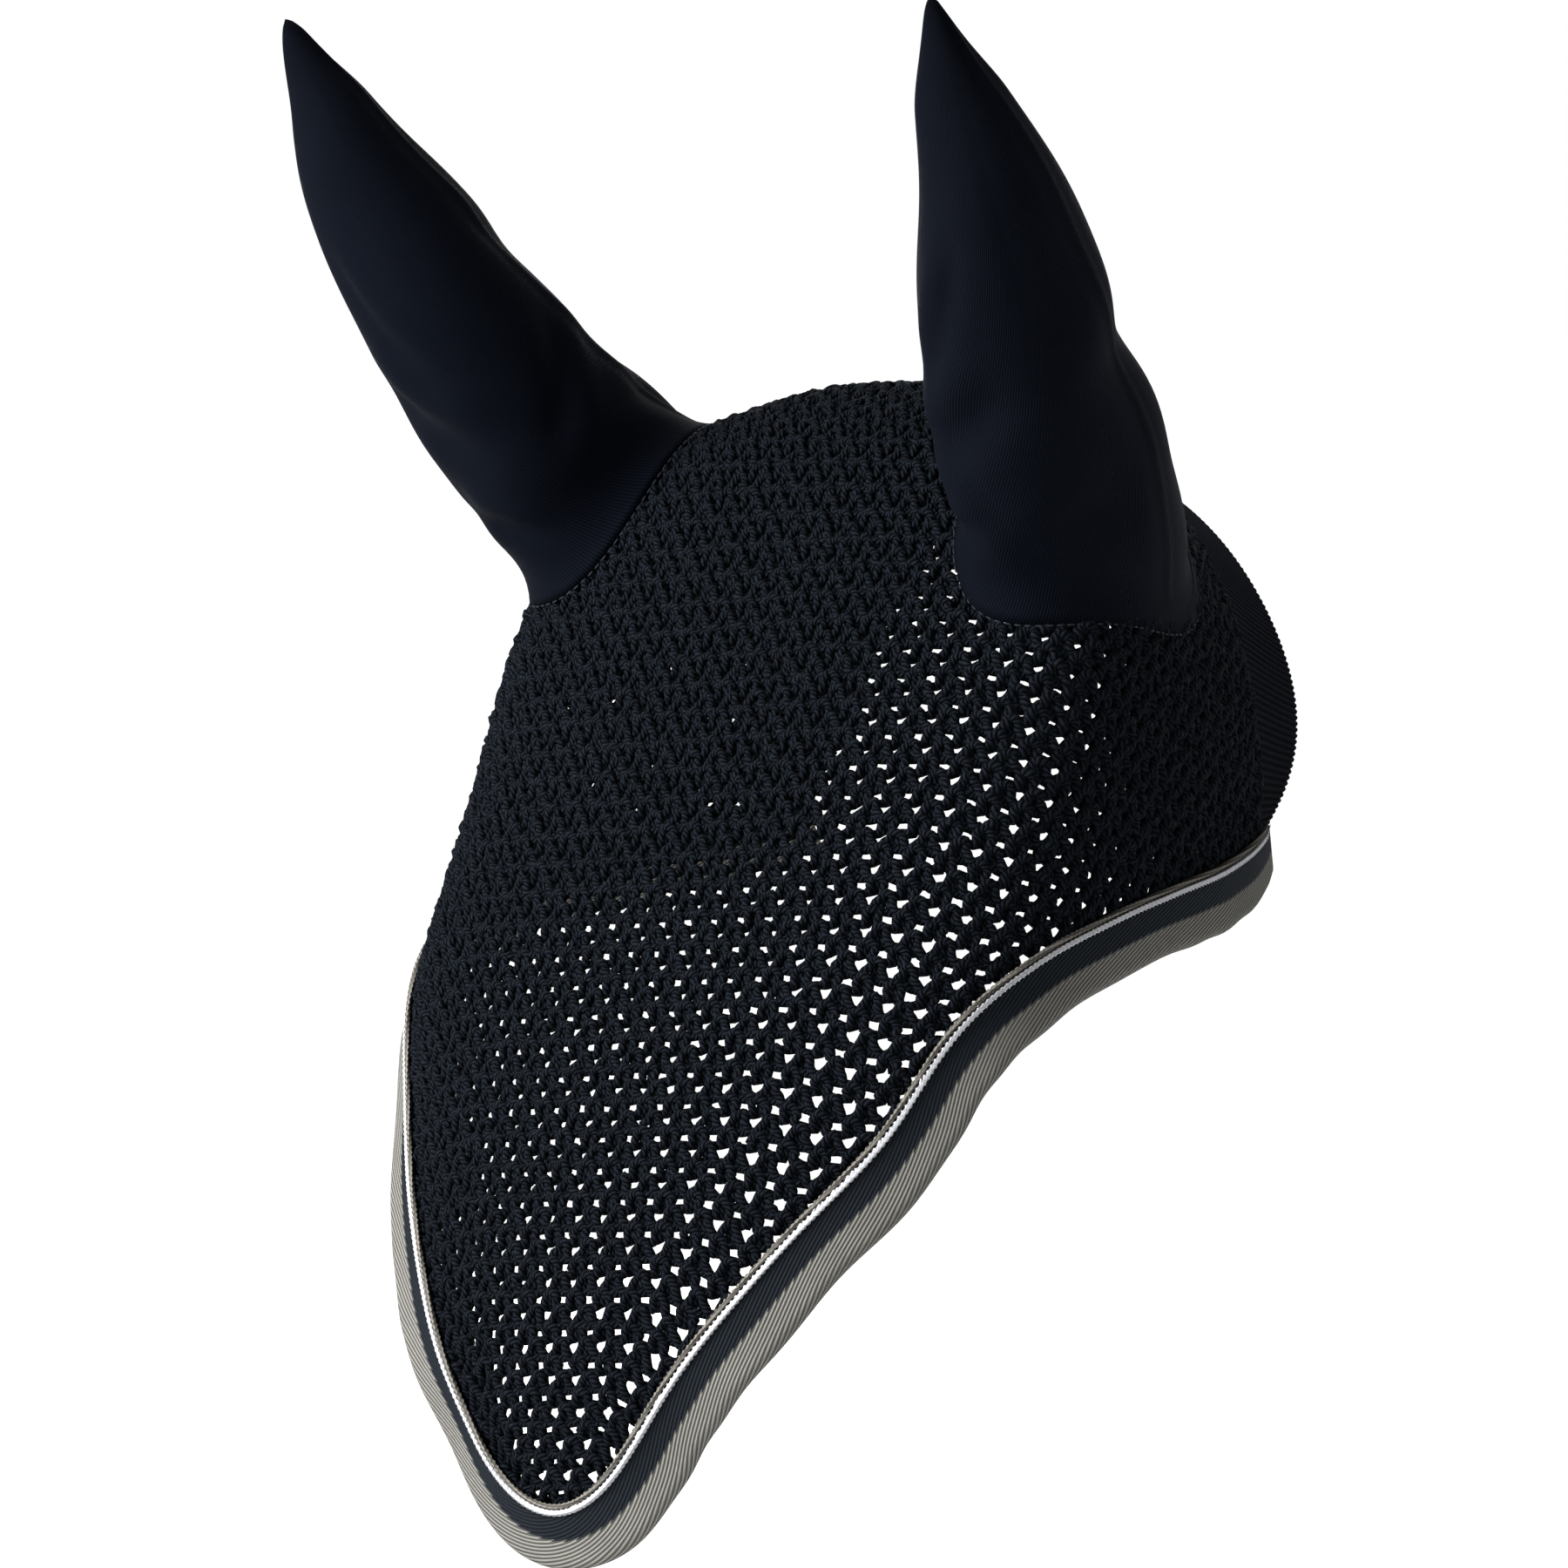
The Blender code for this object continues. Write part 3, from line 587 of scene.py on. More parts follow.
class RowMap:
    """Stations and lateral places over crochet rows and distances from the centre line.

    Rows lie in planes that fall backwards, except over the crown, where they run from side
    to side. Each starts on the centre line and is followed outwards."""

    STEPS = 2  # tabled levels for each row
    REACH = 0.26
    STEP = 0.0005
    NUDGE = 0.01
    FACE_END = 7.8  # station above which the centre line is too flat for the planes
    SLOPE_POINTS = 40  # below it, which give the slope beyond it
    LINE_STATIONS = (-0.12, RIB_STATION + 0.1)
    ROW_STATIONS = (-0.06, RIB_STATION + 0.05)
    LAST_PLACE = 1.004
    SHORT_OF_END = 1.001  # keeps a place inside the table's last cell

    def __init__(self):
        self.line_u = np.linspace(*self.LINE_STATIONS, 1023)
        line = hood_point(self.line_u, 0.0)
        self.line_run = run_of(line)
        self.line_run -= np.interp(0.0, self.line_u, self.line_run)
        self.line_level = line[:, 2] + ROW_FALL * line[:, 1]
        self.rows = int(np.interp(RIB_STATION, self.line_u, self.line_run) / ROW_PITCH) + 1
        starts = (np.arange(self.rows * self.STEPS + 2) - 1) * ROW_PITCH / self.STEPS
        self.run = np.arange(0.0, self.REACH, self.STEP)
        self.tables = {side: self.traced(starts, side) for side in (1, -1)}

    def traced(self, starts, side):
        """Stations and places without sign of the rows on one side, by row and run."""
        u = np.interp(starts, self.line_run, self.line_u)
        q = np.zeros(len(u))
        table = np.full((2, len(starts), len(self.run)), np.nan)
        on = np.arange(len(starts))
        first, last = self.ROW_STATIONS
        for k in range(len(self.run)):
            table[:, on, k] = u, q
            du, dq = self.heading(u, q, side)
            du, dq = self.heading(u + du / 2, q + dq / 2, side)
            u, q = u + du, q + dq
            inside = (u > first) & (u < last) & (q < self.LAST_PLACE) & (q >= 0)
            on, u, q = on[inside], u[inside], q[inside]
        for row in table.transpose(1, 0, 2):
            known = row[:, np.isfinite(row[0])]
            measured = run_of(hood_point(*known))
            row[:] = [np.interp(self.run, measured, line, right=np.nan) for line in known]
        return table

    def level(self, points, u, q, side):
        """Where on the centre line the row through each point starts, in metres."""
        height = points[..., 2] + ROW_FALL * points[..., 1]
        height = height - side * ROW_SKEW * points[..., 0] + ROW_DROP * smooth(0.38, 0.80, q)
        top = np.searchsorted(self.line_u, self.FACE_END)
        low = top - self.SLOPE_POINTS
        rise = self.line_level[top] - self.line_level[low]
        slope = (self.line_run[top] - self.line_run[low]) / rise
        beyond = np.maximum(height - self.line_level[top], 0.0) * slope
        below = np.minimum(height - self.line_level[0], 0.0)
        flat = np.interp(height, self.line_level[: top + 1], self.line_run[: top + 1])
        flat = flat + beyond + below
        crown = smooth(6.8, 8.6, u) * (1 - smooth(0.22, 0.62, np.abs(q)))
        return flat + crown * (np.interp(u, self.line_u, self.line_run) - flat)

    def heading(self, u, q, side):
        """The step of station and lateral place that goes STEP further along a row."""
        n = self.NUDGE
        near_u = np.stack([u + n, u - n, u, u])
        near_q = np.stack([q, q, q + n, q - n])
        points = hood_point(near_u, near_q)
        level = self.level(points, near_u, near_q, side)
        du = level[3] - level[2]
        dq = level[0] - level[1]
        way = du[:, None] * (points[0] - points[1]) + dq[:, None] * (points[2] - points[3])
        scale = self.STEP * 2 * n / np.linalg.norm(way, axis=1)
        return du * scale, dq * scale

    def at(self, row, run):
        """Station and lateral place, or not a number off the crochet."""
        last_level, last_step = np.array(self.tables[1].shape[1:]) - self.SHORT_OF_END
        level = np.clip(row * self.STEPS + 1, 0, last_level)
        step = np.minimum(np.abs(run) / self.STEP, last_step)
        i, k = level.astype(int), step.astype(int)
        a, b = level - i, step - k
        found = {}
        for side, table in self.tables.items():
            low = table[:, i, k] * (1 - b) + table[:, i, k + 1] * b
            high = table[:, i + 1, k] * (1 - b) + table[:, i + 1, k + 1] * b
            low, high = np.where(np.isnan(low), high, low), np.where(np.isnan(high), low, high)
            found[side] = low * (1 - a) + high * a
        u, q = np.where(run > 0, found[1], found[-1])
        return u, np.copysign(q, run)


def curved(points):
    """A smooth line through points."""
    padded = carried_on(points)
    four = [padded[k : len(padded) - 3 + k] for k in range(4)]
    made = [catmull_rom(*four, t) for t in np.arange(YARN_SAMPLES) / YARN_SAMPLES]
    return np.stack(made, axis=1).reshape(-1, points.shape[1])


def in_ear_hole(u, q):
    """True inside the base oval of an ear and a margin round it."""
    forward = -(u - EAR_PLACE[0]) * BASE_LONG_STEP
    outward = (np.abs(q) - EAR_PLACE[1]) * BASE_WIDE_STEP
    fore = forward * BASE_COS + outward * BASE_SIN
    side = outward * BASE_COS - forward * BASE_SIN
    across, along = side / (EAR_BASE_SIDE + HOLE_MARGIN), fore / (EAR_BASE_FORE + HOLE_MARGIN)
    return across**2 + along**2 < 1


def crochet_row(rows, r, path, random):
    """Yarn of one row along the path of its stitches, cut at the borders."""
    path = np.array(path)
    count = int(RowMap.REACH / STITCH_PITCH)
    places = np.arange(-count, count + 1) + (0.0 if r % 2 else ROW_SHIFT)
    places = places + PAIR_SHIFT * ((r + 1) // 2)
    places = places - np.round(places.mean())
    control = np.zeros((len(places), len(path), 3))
    stray = random.normal(0.0, YARN_UNEVEN, control.shape)
    control[..., 0] = (places[:, None] + path[:, 0]) * STITCH_PITCH + stray[..., 0]
    control[..., 1] = r + 0.5 + path[:, 1] + stray[..., 1] / ROW_PITCH
    control[..., 2] = path[:, 2] * YARN_RADIUS + stray[..., 2]
    run, row, lift = curved(control.reshape(-1, 3)).T
    u, q = rows.at(row, run)
    kept = np.isfinite(u)
    kept[kept] &= ~in_ear_hole(u[kept], q[kept])
    u, q = u[kept], q[kept]
    line = np.zeros((len(kept), 4))
    line[kept, :3] = hood_point(u, q) + lift[kept, None] * hood_normal(u, q)
    beside = smooth(0.34, 0.60, np.abs(q)) - smooth(0.92, 1.0, np.abs(q))
    line[kept, 3] = SIDE_FULLNESS * smooth(5.0, 6.6, u) * beside
    ends = np.flatnonzero(np.diff(np.concatenate([[0], kept.astype(int), [0]])))
    return [line[a:b] for a, b in zip(ends[::2], ends[1::2]) if b - a > YARN_SHORTEST]


def crochet():
    """The crochet's rows, in a few pieces from tip to poll."""
    rows = RowMap()
    random = np.random.default_rng(SEED)
    lines = []
    for r in range(rows.rows):
        paths = SQUARE_ROW if r % 2 else FLARED_ROW
        lines.append([line for path in paths for line in crochet_row(rows, r, path, random)])
    sizes = np.cumsum([sum(len(line) for line in row) for row in lines])
    piece_of = np.minimum((sizes - 1) * CROCHET_PIECES // sizes[-1], CROCHET_PIECES - 1)
    yarn = {"Radius": YARN_RADIUS, "Sides": YARN_SIDES, "Finish": YARN, **PLAIN_STRAND}
    for k in range(CROCHET_PIECES):
        name = f"crochet_rows_{k + 1}"
        chosen = [line for row, piece in zip(lines, piece_of) if piece == k for line in row]
        settle(grown(name, chosen, STRANDS, **yarn), "crochet_yarn", "crochet_hood")


# Lower edge: binding and cords

EDGE_STEP = 0.0010
EDGE_EASE, NORMAL_EASE, WAY_EASE, CORD_EASE = 4, 10, 5, 3  # points evened out to each side
EDGE_HELD = 10  # points at the edge's ends that stay in place
TAPE_FLAT = 2 * BINDING_WIDTH
TAPE_TUCK = 0.0016  # how far the tape's edges reach in under the cords
TAPE_WAVE = 0.00022
# Length of the fold's waves, and depth and length of what makes them uneven
TAPE_WAVES = ((0.011, 1.3, 0.037), (0.0047, 2.0, 0.021))
TAPE_FLARE = 0.20  # lean of the tape on the right side
TWILL_RIB = 0.0036  # along the tape from rib to rib
TWILL_LEAN = 4.0  # how far a rib runs along the tape for each metre across it
STRIPE_PLACE = 0.0060
STRIPE_TOOTH = 0.0007  # how far the ribs reach over the stripe's edge
CORD_PACKING = 0.84  # how small the twist is drawn together by its sewing
CORD_CLOSE = 0.76  # how near the two cords lie, as a share of their radii
CORD_TAPER = 0.009  # how far from its ends a cord frays
CORD_FRAY = 0.85
CORD_TWIST = {"Lobe": 0.34, "Turn": 1150.0, "Sides": 6}


def edge_frames():
    """Points, outward normals and ways out of the hood along its lower edge, evenly spaced."""
    side = np.linspace(0.0, LAST_STATION, 600)
    tip = np.linspace(-1.0, 1.0, 90)[1:-1]
    u = np.concatenate([side[::-1], np.zeros(len(tip)), side])
    q = np.concatenate([-np.ones(len(side)), tip, np.ones(len(side))])
    points = hood_point(u, q)
    run = run_of(points)
    even = np.linspace(0.0, run[-1], int(run[-1] / EDGE_STEP))
    points = resampled(even, run, points)
    normals = resampled(even, run, hood_normal(u, q))
    middle = slice(EDGE_HELD, -EDGE_HELD)
    points[middle] = evened(points, EDGE_EASE)[middle]
    normals = unit(evened(evened(normals, NORMAL_EASE), NORMAL_EASE))
    way = unit(evened(np.gradient(points, axis=0), WAY_EASE))
    out = unit(np.cross(way, normals))
    return points, unit(np.cross(out, way)), out, even


EDGE, EDGE_NORMALS, EDGE_OUTS, EDGE_RUN = edge_frames()


def tape_profile():
    """Out and rise of the tape's middle and normals, and its places across, over the fold."""
    lift = CROCHET_WALL / 2 + TAPE_ROOM + TAPE_WALL / 2
    fold = BINDING_WIDTH - lift - TAPE_WALL / 2
    leaf = np.linspace(-TAPE_TUCK, fold, 16)
    turn = half_turn(11)
    out = np.concatenate([leaf, fold + lift * np.cos(turn), leaf[::-1]])
    facing_out = np.concatenate([np.zeros(len(leaf)), np.cos(turn), np.zeros(len(leaf))])
    facing_up = np.concatenate([np.ones(len(leaf)), np.sin(turn), -np.ones(len(leaf))])
    rise = lift * facing_up
    across = run_of(np.stack([out, rise], axis=1))
    return out, rise, facing_out[:, None], facing_up[:, None], across * TAPE_FLAT / across[-1]


def edge_binding():
    """The tape folded over the hood's edge, with a slightly wavy fold."""
    out, rise, facing_out, facing_up, across = tape_profile()
    run, outs, normals = EDGE_RUN, EDGE_OUTS[:, None], EDGE_NORMALS[:, None]
    wave = sum(
        TAPE_WAVE * np.sin(run / length + depth * np.sin(run / wander))
        for length, depth, wander in TAPE_WAVES
    )
    flare = TAPE_FLARE * smooth(0.03, 0.12, run) * (1 - smooth(0.30, 0.37, run))
    swing = np.clip(out / BINDING_WIDTH, 0, 1)[None, :]
    middle = EDGE[:, None] + (out + wave[:, None] * swing)[..., None] * outs
    middle += (rise + flare[:, None] * swing * out)[..., None] * normals
    wall = (TAPE_WALL / 2) * (facing_out * outs + facing_up * normals)
    places = cloth_places(run[:, None], across[None, :])
    piece = cloth("edge_binding_tape", middle + wall, middle - wall, places, tape_finish())
    settle(piece, "binding_tape", "edge_binding")


def tape_finish():
    """Striped twill tape: near-black along its inner half and taupe along its fold, both with
    painted shade in the grooves between the ribs.
    """
    material, tree, places = new_finish("striped_twill_tape", 0.80, sheen=0.004, gloss=0.06)
    ribs, parts = twill_height(tree, places["UV"], TWILL_RIB, TWILL_LEAN)
    edge = calc(tree, "SUBTRACT", parts["Y"], calc(tree, "MULTIPLY", ribs, STRIPE_TOOTH))
    after_first = calc(tree, "GREATER_THAN", edge, STRIPE_PLACE)
    before_last = calc(tree, "LESS_THAN", edge, TAPE_FLAT - STRIPE_PLACE)
    taupe_side = calc(tree, "MULTIPLY", after_first, before_last)
    patchy = noise(tree, places["Object"], 90.0)
    # painted shade: the grooves between the ribs are darker in both stripes
    painted_groove_shade = calc(tree, "POWER", ribs, 0.8)
    taupe = mixed(tree, patchy, (0.280, 0.272, 0.246), (0.355, 0.346, 0.315))
    taupe = mixed(tree, painted_groove_shade, (0.055, 0.054, 0.050), taupe)
    black = mixed(tree, painted_groove_shade, (0.0040, 0.0052, 0.0072), (0.0165, 0.0215, 0.0275))
    return finished(material, mixed(tree, taupe_side, black, taupe), ribs, relief=0.00030)


def edge_cords():
    """Two twisted cords sewn down along the edge of the tape."""
    white_out = -(LAID_LIFT + WHITE_CORD_RADIUS)
    grey_out = white_out - CORD_CLOSE * (WHITE_CORD_RADIUS + GREY_CORD_RADIUS)
    for name, out, radius, finish in (
        ("white_cord", white_out, WHITE_CORD_RADIUS, WHITE_YARN),
        ("grey_cord", grey_out, GREY_CORD_RADIUS, GREY_YARN),
    ):
        rise = CROCHET_WALL / 2 + LAID_LIFT + radius
        line = evened(EDGE + out * EDGE_OUTS + rise * EDGE_NORMALS, CORD_EASE)
        fine = np.linspace(0.0, len(line) - 1.0, 2 * len(line) - 1)
        line = resampled(fine, np.arange(len(line)), line)
        run = run_of(line)
        full = CORD_FRAY * (smooth(0.0, CORD_TAPER, np.minimum(run, run[-1] - run)) - 1)
        lines = [np.concatenate([line, full[:, None]], axis=1)]
        sizes = {"Radius": radius * CORD_PACKING, "Finish": finish, **CORD_TWIST}
        settle(grown(name + "_twist", lines, STRANDS, **sizes), name, name)


# Poll band

RIB_PITCH = 0.0020
RIB_RIDGE = 0.0007
RIB_ROUNDNESS = 0.8  # power of the ridge's wave
RIB_SINK = 0.3  # share of a ridge that lies within the leaf
RIB_LEAF = 0.0013
RIB_LAP = 0.045  # over the crochet, in stations
RIB_ROOM = 0.00015  # half the room between the leaves
RIB_SKIN = 0.0001
LOOP_LEAN = 0.9


def rib_poll_band():
    """The rib knit over the poll, folded at the back, with ridges round the fold."""
    fine_q = np.linspace(-1.0, 1.0, 2400)
    run = run_of(hood_point(RIB_STATION + 0.5, fine_q))
    even = np.linspace(0.0, run[-1], int(run[-1] / (RIB_PITCH / 8)))
    q = np.interp(even, run, fine_q)
    leaf = np.linspace(RIB_STATION - RIB_LAP, LAST_STATION, 26)
    grid_u, grid_q = np.meshgrid(leaf, q, indexing="ij")
    base = hood_point(grid_u, grid_q)
    normal = hood_normal(grid_u, grid_q)
    back_way = unit(base[-1] - base[-3])
    fold = np.stack([math.cos(a) * back_way + math.sin(a) * normal[-1] for a in half_turn(9)])
    facing = np.concatenate([normal, fold, -normal[::-1]])
    core = np.concatenate([base, np.broadcast_to(base[-1], fold.shape), base[::-1]])
    middle = core + (RIB_ROOM + RIB_LEAF / 2) * facing
    ridge = RIB_RIDGE * np.abs(np.sin(np.pi * even / RIB_PITCH)) ** RIB_ROUNDNESS
    front = middle + (RIB_LEAF / 2 - RIB_SINK * RIB_RIDGE + ridge)[None, :, None] * facing
    back = middle - (RIB_LEAF / 2 - RIB_SKIN) * facing
    along = run_of(middle[:, len(q) // 2])
    places = cloth_places(even[None, :], along[:, None])
    piece = cloth("rib_knit_poll_band", front, back, places, rib_finish())
    settle(piece, "rib_knit", "rib_poll_band")


def rib_finish():
    """Rib knit: columns of small slanting loops on each ridge, with painted shade between the loops
    and in the furrows between the ridges.
    """
    material, tree, places = new_finish("navy_rib_knit", 0.90, sheen=0.003, gloss=0.03)
    loops, parts = twill_height(tree, places["UV"], RIB_PITCH / 2, LOOP_LEAN)
    phase = calc(tree, "MULTIPLY", parts["X"], 2 * math.pi / RIB_PITCH)
    painted_furrow_shade = wave_height(tree, "COSINE", phase)
    uneven = noise(tree, places["Object"], 300.0)
    knit = mixed(tree, uneven, (0.0110, 0.0130, 0.0200), (0.0240, 0.0280, 0.0400))
    # painted shade between the loops
    knit = mixed(tree, loops, (0.0050, 0.0058, 0.0095), knit)
    # painted shade in the furrows between the ridges
    colour = mixed(tree, painted_furrow_shade, knit, (0.0012, 0.0014, 0.0022))
    return finished(material, colour, loops, relief=0.0003)


# Ears

TIP_POINT = 0.35  # how much slimmer the sleeve's tip is than a round one
SLEEVE_TOP = 0.0004  # share of the height that the last row stays off the tip
SLEEVE_CROWDING = 1.25  # how the rows close up towards the tip
SLEEVE_FLARE = 0.0060  # how far the sleeve's edge spreads over its hem
SLEEVE_FLARE_RISE = 0.0050
SLEEVE_BEND = 0.060  # height above the foot of the upper one of the two bend points
TIP_WALL = 0.0006
RING_ROW, HEIGHT_COLUMN = 20, 36  # where the sleeve's flat size is measured
EAR_RIB, EAR_RIB_LEAN = 0.0009, 0.35
SEAMS = {"outer_seam": -0.6, "inner_seam": math.pi + 0.3}  # angles of the side seams
SEAM_WELT, WELT_WIDTH = 0.0004, 0.0014
DENT_PLACE, DENT_WIDTH = 0.0038, 0.0018  # of the dents beside a welt
WELT_RADIUS = (0.034, 0.002)  # the sleeve's rough radius at its foot, and at its tip
# Where the sleeve stands out or hangs in: angle, share, spread in shares and metres out
SLEEVE_SWELLS = (
    (5.10, 0.305, 0.105, -0.0074),
    (5.10, 0.090, 0.050, 0.0048),
    (5.10, 0.680, 0.140, 0.0033),
    (2.20, 0.750, 0.150, -0.0022),
    (0.50, 0.860, 0.070, -0.0018),
    (3.70, 0.580, 0.100, 0.0016),
    (3.70, 0.260, 0.060, -0.0016),
)
SLACK_FOLDS = (0.0006, 4.0, 26.0)  # depth, how many go round, and how they wind upwards
LONG_FOLDS = (0.0004, 2.0, 19.0)
FOLD_TURN = 0.15  # half the angle by which the folds of the two ears differ
# Creases of the sleeve: angle and share at both ends, half-width and depth
CREASES = (
    (1.80, 0.26, 0.95, 0.39, 0.0085, 0.0034),
    (1.90, 0.08, 1.30, 0.15, 0.0050, 0.0018),
    (0.75, 0.10, 1.30, 0.22, 0.0050, 0.0008),
    (1.75, 0.42, 1.20, 0.62, 0.0055, 0.0014),
    (2.60, 0.20, 3.40, 0.36, 0.0055, 0.0014),
    (3.60, 0.10, 4.15, 0.24, 0.0055, 0.0012),
    (4.05, 0.46, 3.50, 0.58, 0.0060, 0.0008),
)
CREASE_RADIUS = 0.030  # metres round the sleeve for each radian
CREASE_WRAP = 0.120  # metres round, beyond which a place lies before the crease
CREASE_FADE = (-0.012, 0.010)
CREASE_RIDGE = (0.6, 1.7)  # beside it: height in depths, and place in half-widths
# The turned hem: how far out from the ear's base, and how high
HEM_PROFILE = (
    (0.0, 0.0016), (0.0015, 0.0016), (0.0030, 0.0014), (0.0045, 0.0010), (0.0054, 0.0006),
)
HEM_ROOM = 0.0002
HEM_STITCH_HEIGHT = 0.0009
HEM_STITCH = {"Pitch": 0.0030, "Length": 0.0026, "Radius": 0.00032}


def ear_axes():
    """The ear's fore and side directions across its line."""
    fore = unit(np.array((0.0, -1.0, 0.0)) + EAR_LINE[1] * EAR_LINE)
    cos, sin = math.cos(EAR_TURN), math.sin(EAR_TURN)
    fore = fore * cos + np.cross(EAR_LINE, fore) * sin
    return fore, np.cross(EAR_LINE, fore)


EAR_FORE, EAR_SIDE = ear_axes()


def base_point(angle, grow, height):
    """Points of the left ear's base oval, height above the crochet's outer face."""
    side = (EAR_BASE_SIDE + grow) * np.cos(angle)
    fore = (EAR_BASE_FORE + grow) * np.sin(angle)
    forward = fore * BASE_COS - side * BASE_SIN
    outward = side * BASE_COS + fore * BASE_SIN
    u = EAR_PLACE[0] - forward / BASE_LONG_STEP
    q = EAR_PLACE[1] + outward / BASE_WIDE_STEP
    return hood_point(u, q) + (CROCHET_WALL / 2 + height) * hood_normal(u, q)


def sleeve_point(angle, share, grow):
    """Points of the left sleeve: angle 0 is its outer side, a quarter turn its front."""
    angle, share, grow = np.broadcast_arrays(angle, share, grow)
    taper = np.sqrt(np.maximum(1.0 - share, 0.0)) * (1 - TIP_POINT * smooth(0.82, 1.0, share))
    flatten = EAR_TIP_FLATNESS + (1 - EAR_TIP_FLATNESS) * (1.0 - share)
    across = (EAR_SIDE_RADIUS * taper + grow) * np.cos(angle)
    fore = np.maximum(EAR_FORE_RADIUS * taper * flatten + grow, 0.0) * np.sin(angle)
    section = across[..., None] * EAR_SIDE + fore[..., None] * EAR_FORE
    oval = taper[..., None] * (base_point(angle, grow, LAID_LIFT) - EAR_BASE)
    blend = smooth(0.0, EAR_BLEND_SHARE, share)[..., None]
    bow = (4 * share * (1 - share))[..., None] * (EAR_BOW[0] * EAR_FORE + EAR_BOW[1] * EAR_SIDE)
    line = EAR_BASE + (share * EAR_LENGTH)[..., None] * EAR_LINE
    return line + bow + oval + blend * (section - oval)


def sleeve_folds(angle, share):
    """Slack folds above the hem, and creases where the cloth gives."""
    depth, count, wind = SLACK_FOLDS
    slack = bell(share - 0.16, 0.09)
    folds = depth * slack * np.sin(count * angle + wind * share)
    depth, count, wind = LONG_FOLDS
    middle = np.sin(np.pi * np.clip(share, 0, 1))
    folds += depth * np.sin(count * angle + wind * share) * middle
    ridge, ridge_place = CREASE_RIDGE
    for angle_a, share_a, angle_b, share_b, width, depth in CREASES:
        along = np.array(((angle_b - angle_a) * CREASE_RADIUS, (share_b - share_a) * EAR_LENGTH))
        length = np.linalg.norm(along)
        across = ((angle - angle_a) % (2 * np.pi)) * CREASE_RADIUS
        across = np.where(across > CREASE_WRAP, across - CREASE_RADIUS * 2 * np.pi, across)
        up = (share - share_a) * EAR_LENGTH
        run = (across * along[0] + up * along[1]) / length
        off = (across * along[1] - up * along[0]) / length
        fade = smooth(*CREASE_FADE, run) * smooth(*CREASE_FADE, length - run)
        folds -= depth * fade * bell(off, width)
        folds += ridge * depth * fade * bell(off - ridge_place * width, width)
    return folds * smooth(0.0, 0.05, share)


def sleeve_swell(angle, share):
    """How far the sleeve stands out from its plain form."""
    swell = 0.0
    for place, height, spread, out in SLEEVE_SWELLS:
        near = np.maximum(np.cos(angle - place), 0.0)
        swell = swell + out * near * bell(share - height, spread)
    return swell


def seam_welts(angle, share):
    """How far the side seams and the dents beside them stand out."""
    radius = WELT_RADIUS[0] * np.sqrt(1 - share) + WELT_RADIUS[1]
    welt = 0.0
    for seam in SEAMS.values():
        off = 2 * np.abs(np.sin((angle - seam) / 2)) * radius
        welt = welt + SEAM_WELT * bell(off, WELT_WIDTH)
        welt = welt - SEAM_WELT / 2 * bell(off - DENT_PLACE, DENT_WIDTH)
    return welt * smooth(0.0, 0.06, share) * smooth(0.0, 0.03, 1 - share)


def ear_sleeve(hand, side, bend):
    """The twill sleeve in one piece, and its flat size."""
    angle = np.linspace(0.0, 2 * np.pi, 145)
    share = 1 - np.linspace(1.0, SLEEVE_TOP, 130) ** SLEEVE_CROWDING
    share, angle = np.meshgrid(share, angle, indexing="ij")
    flare = SLEEVE_FLARE * np.exp(-share * EAR_LENGTH / SLEEVE_FLARE_RISE)
    folds = sleeve_folds(angle + FOLD_TURN * (1 - side), share)
    grow = seam_welts(angle, share) + flare + sleeve_swell(angle, share) + folds
    outer = sleeve_point(angle, share, grow)
    inner = sleeve_point(angle, share, grow - TWILL_WALL)
    inner[-1] = outer[-1].mean(axis=0)
    outer[-1] = inner[-1] + TIP_WALL * EAR_LINE
    ring = run_of(outer[RING_ROW])
    up = run_of(outer[:, HEIGHT_COLUMN])
    places = cloth_places(ring[None, :], up[:, None])
    piece = cloth(f"{hand}_ear_sleeve", outer, inner, places, TWILL, wrapped=True, side=side)
    nodes = (f"{hand}_ear_{part}" for part in ("foot", "front_panel", "back_panel"))
    settle(piece, "ear_twill", *nodes, ear=hand + "_ear", bend=bend)
    return piece, float(ring[-1]), float(up[-1])


def ear_twill_finish():
    material, tree, places = new_finish("navy_ear_twill", 0.75, sheen=0.004, gloss=0.02)
    ribs, _ = twill_height(tree, places["UV"], EAR_RIB, EAR_RIB_LEAN)
    cloudy = noise(tree, places["Object"], 60.0)
    navy = mixed(tree, cloudy, (0.0026, 0.0037, 0.0070), (0.0050, 0.0068, 0.0126))
    # painted shade: the troughs between the twill's ribs are darker
    colour = mixed(tree, ribs, (0.0012, 0.0017, 0.0032), navy)
    return finished(material, colour, ribs, relief=0.00012, strength=0.8)


TWILL = ear_twill_finish()


def ear_hem(hand, side):
    """The turned hem round the ear hole, sewn down on the crochet."""
    angle = np.linspace(0.0, 2 * np.pi, 181)
    outer = np.stack([base_point(angle, grow, height) for grow, height in HEM_PROFILE])
    under = np.stack([base_point(angle, grow, HEM_ROOM) for grow, _ in HEM_PROFILE])
    across = np.linspace(0.0, HEM_WIDTH, len(HEM_PROFILE))
    places = cloth_places(run_of(outer[-1])[None, :], across[:, None])
    piece = cloth(f"{hand}_ear_turned_hem", outer, under, places, TWILL, wrapped=True, side=side)
    return settle(piece, "ear_twill", hand + "_ear_hem")


def ear_hem_stitches(hand, side):
    angle = np.linspace(0.0, 2 * np.pi, 240, endpoint=False)
    lines = [on_side(side, base_point(angle, SLEEVE_FLARE + THREAD_ROOM, HEM_STITCH_HEIGHT))]
    name = hand + "_ear_hem_stitch"
    piece = grown(name + "es", lines, STITCHES, closed=True, Finish=THREAD, **HEM_STITCH)
    settle(piece, "sewing_thread", name + "ing")


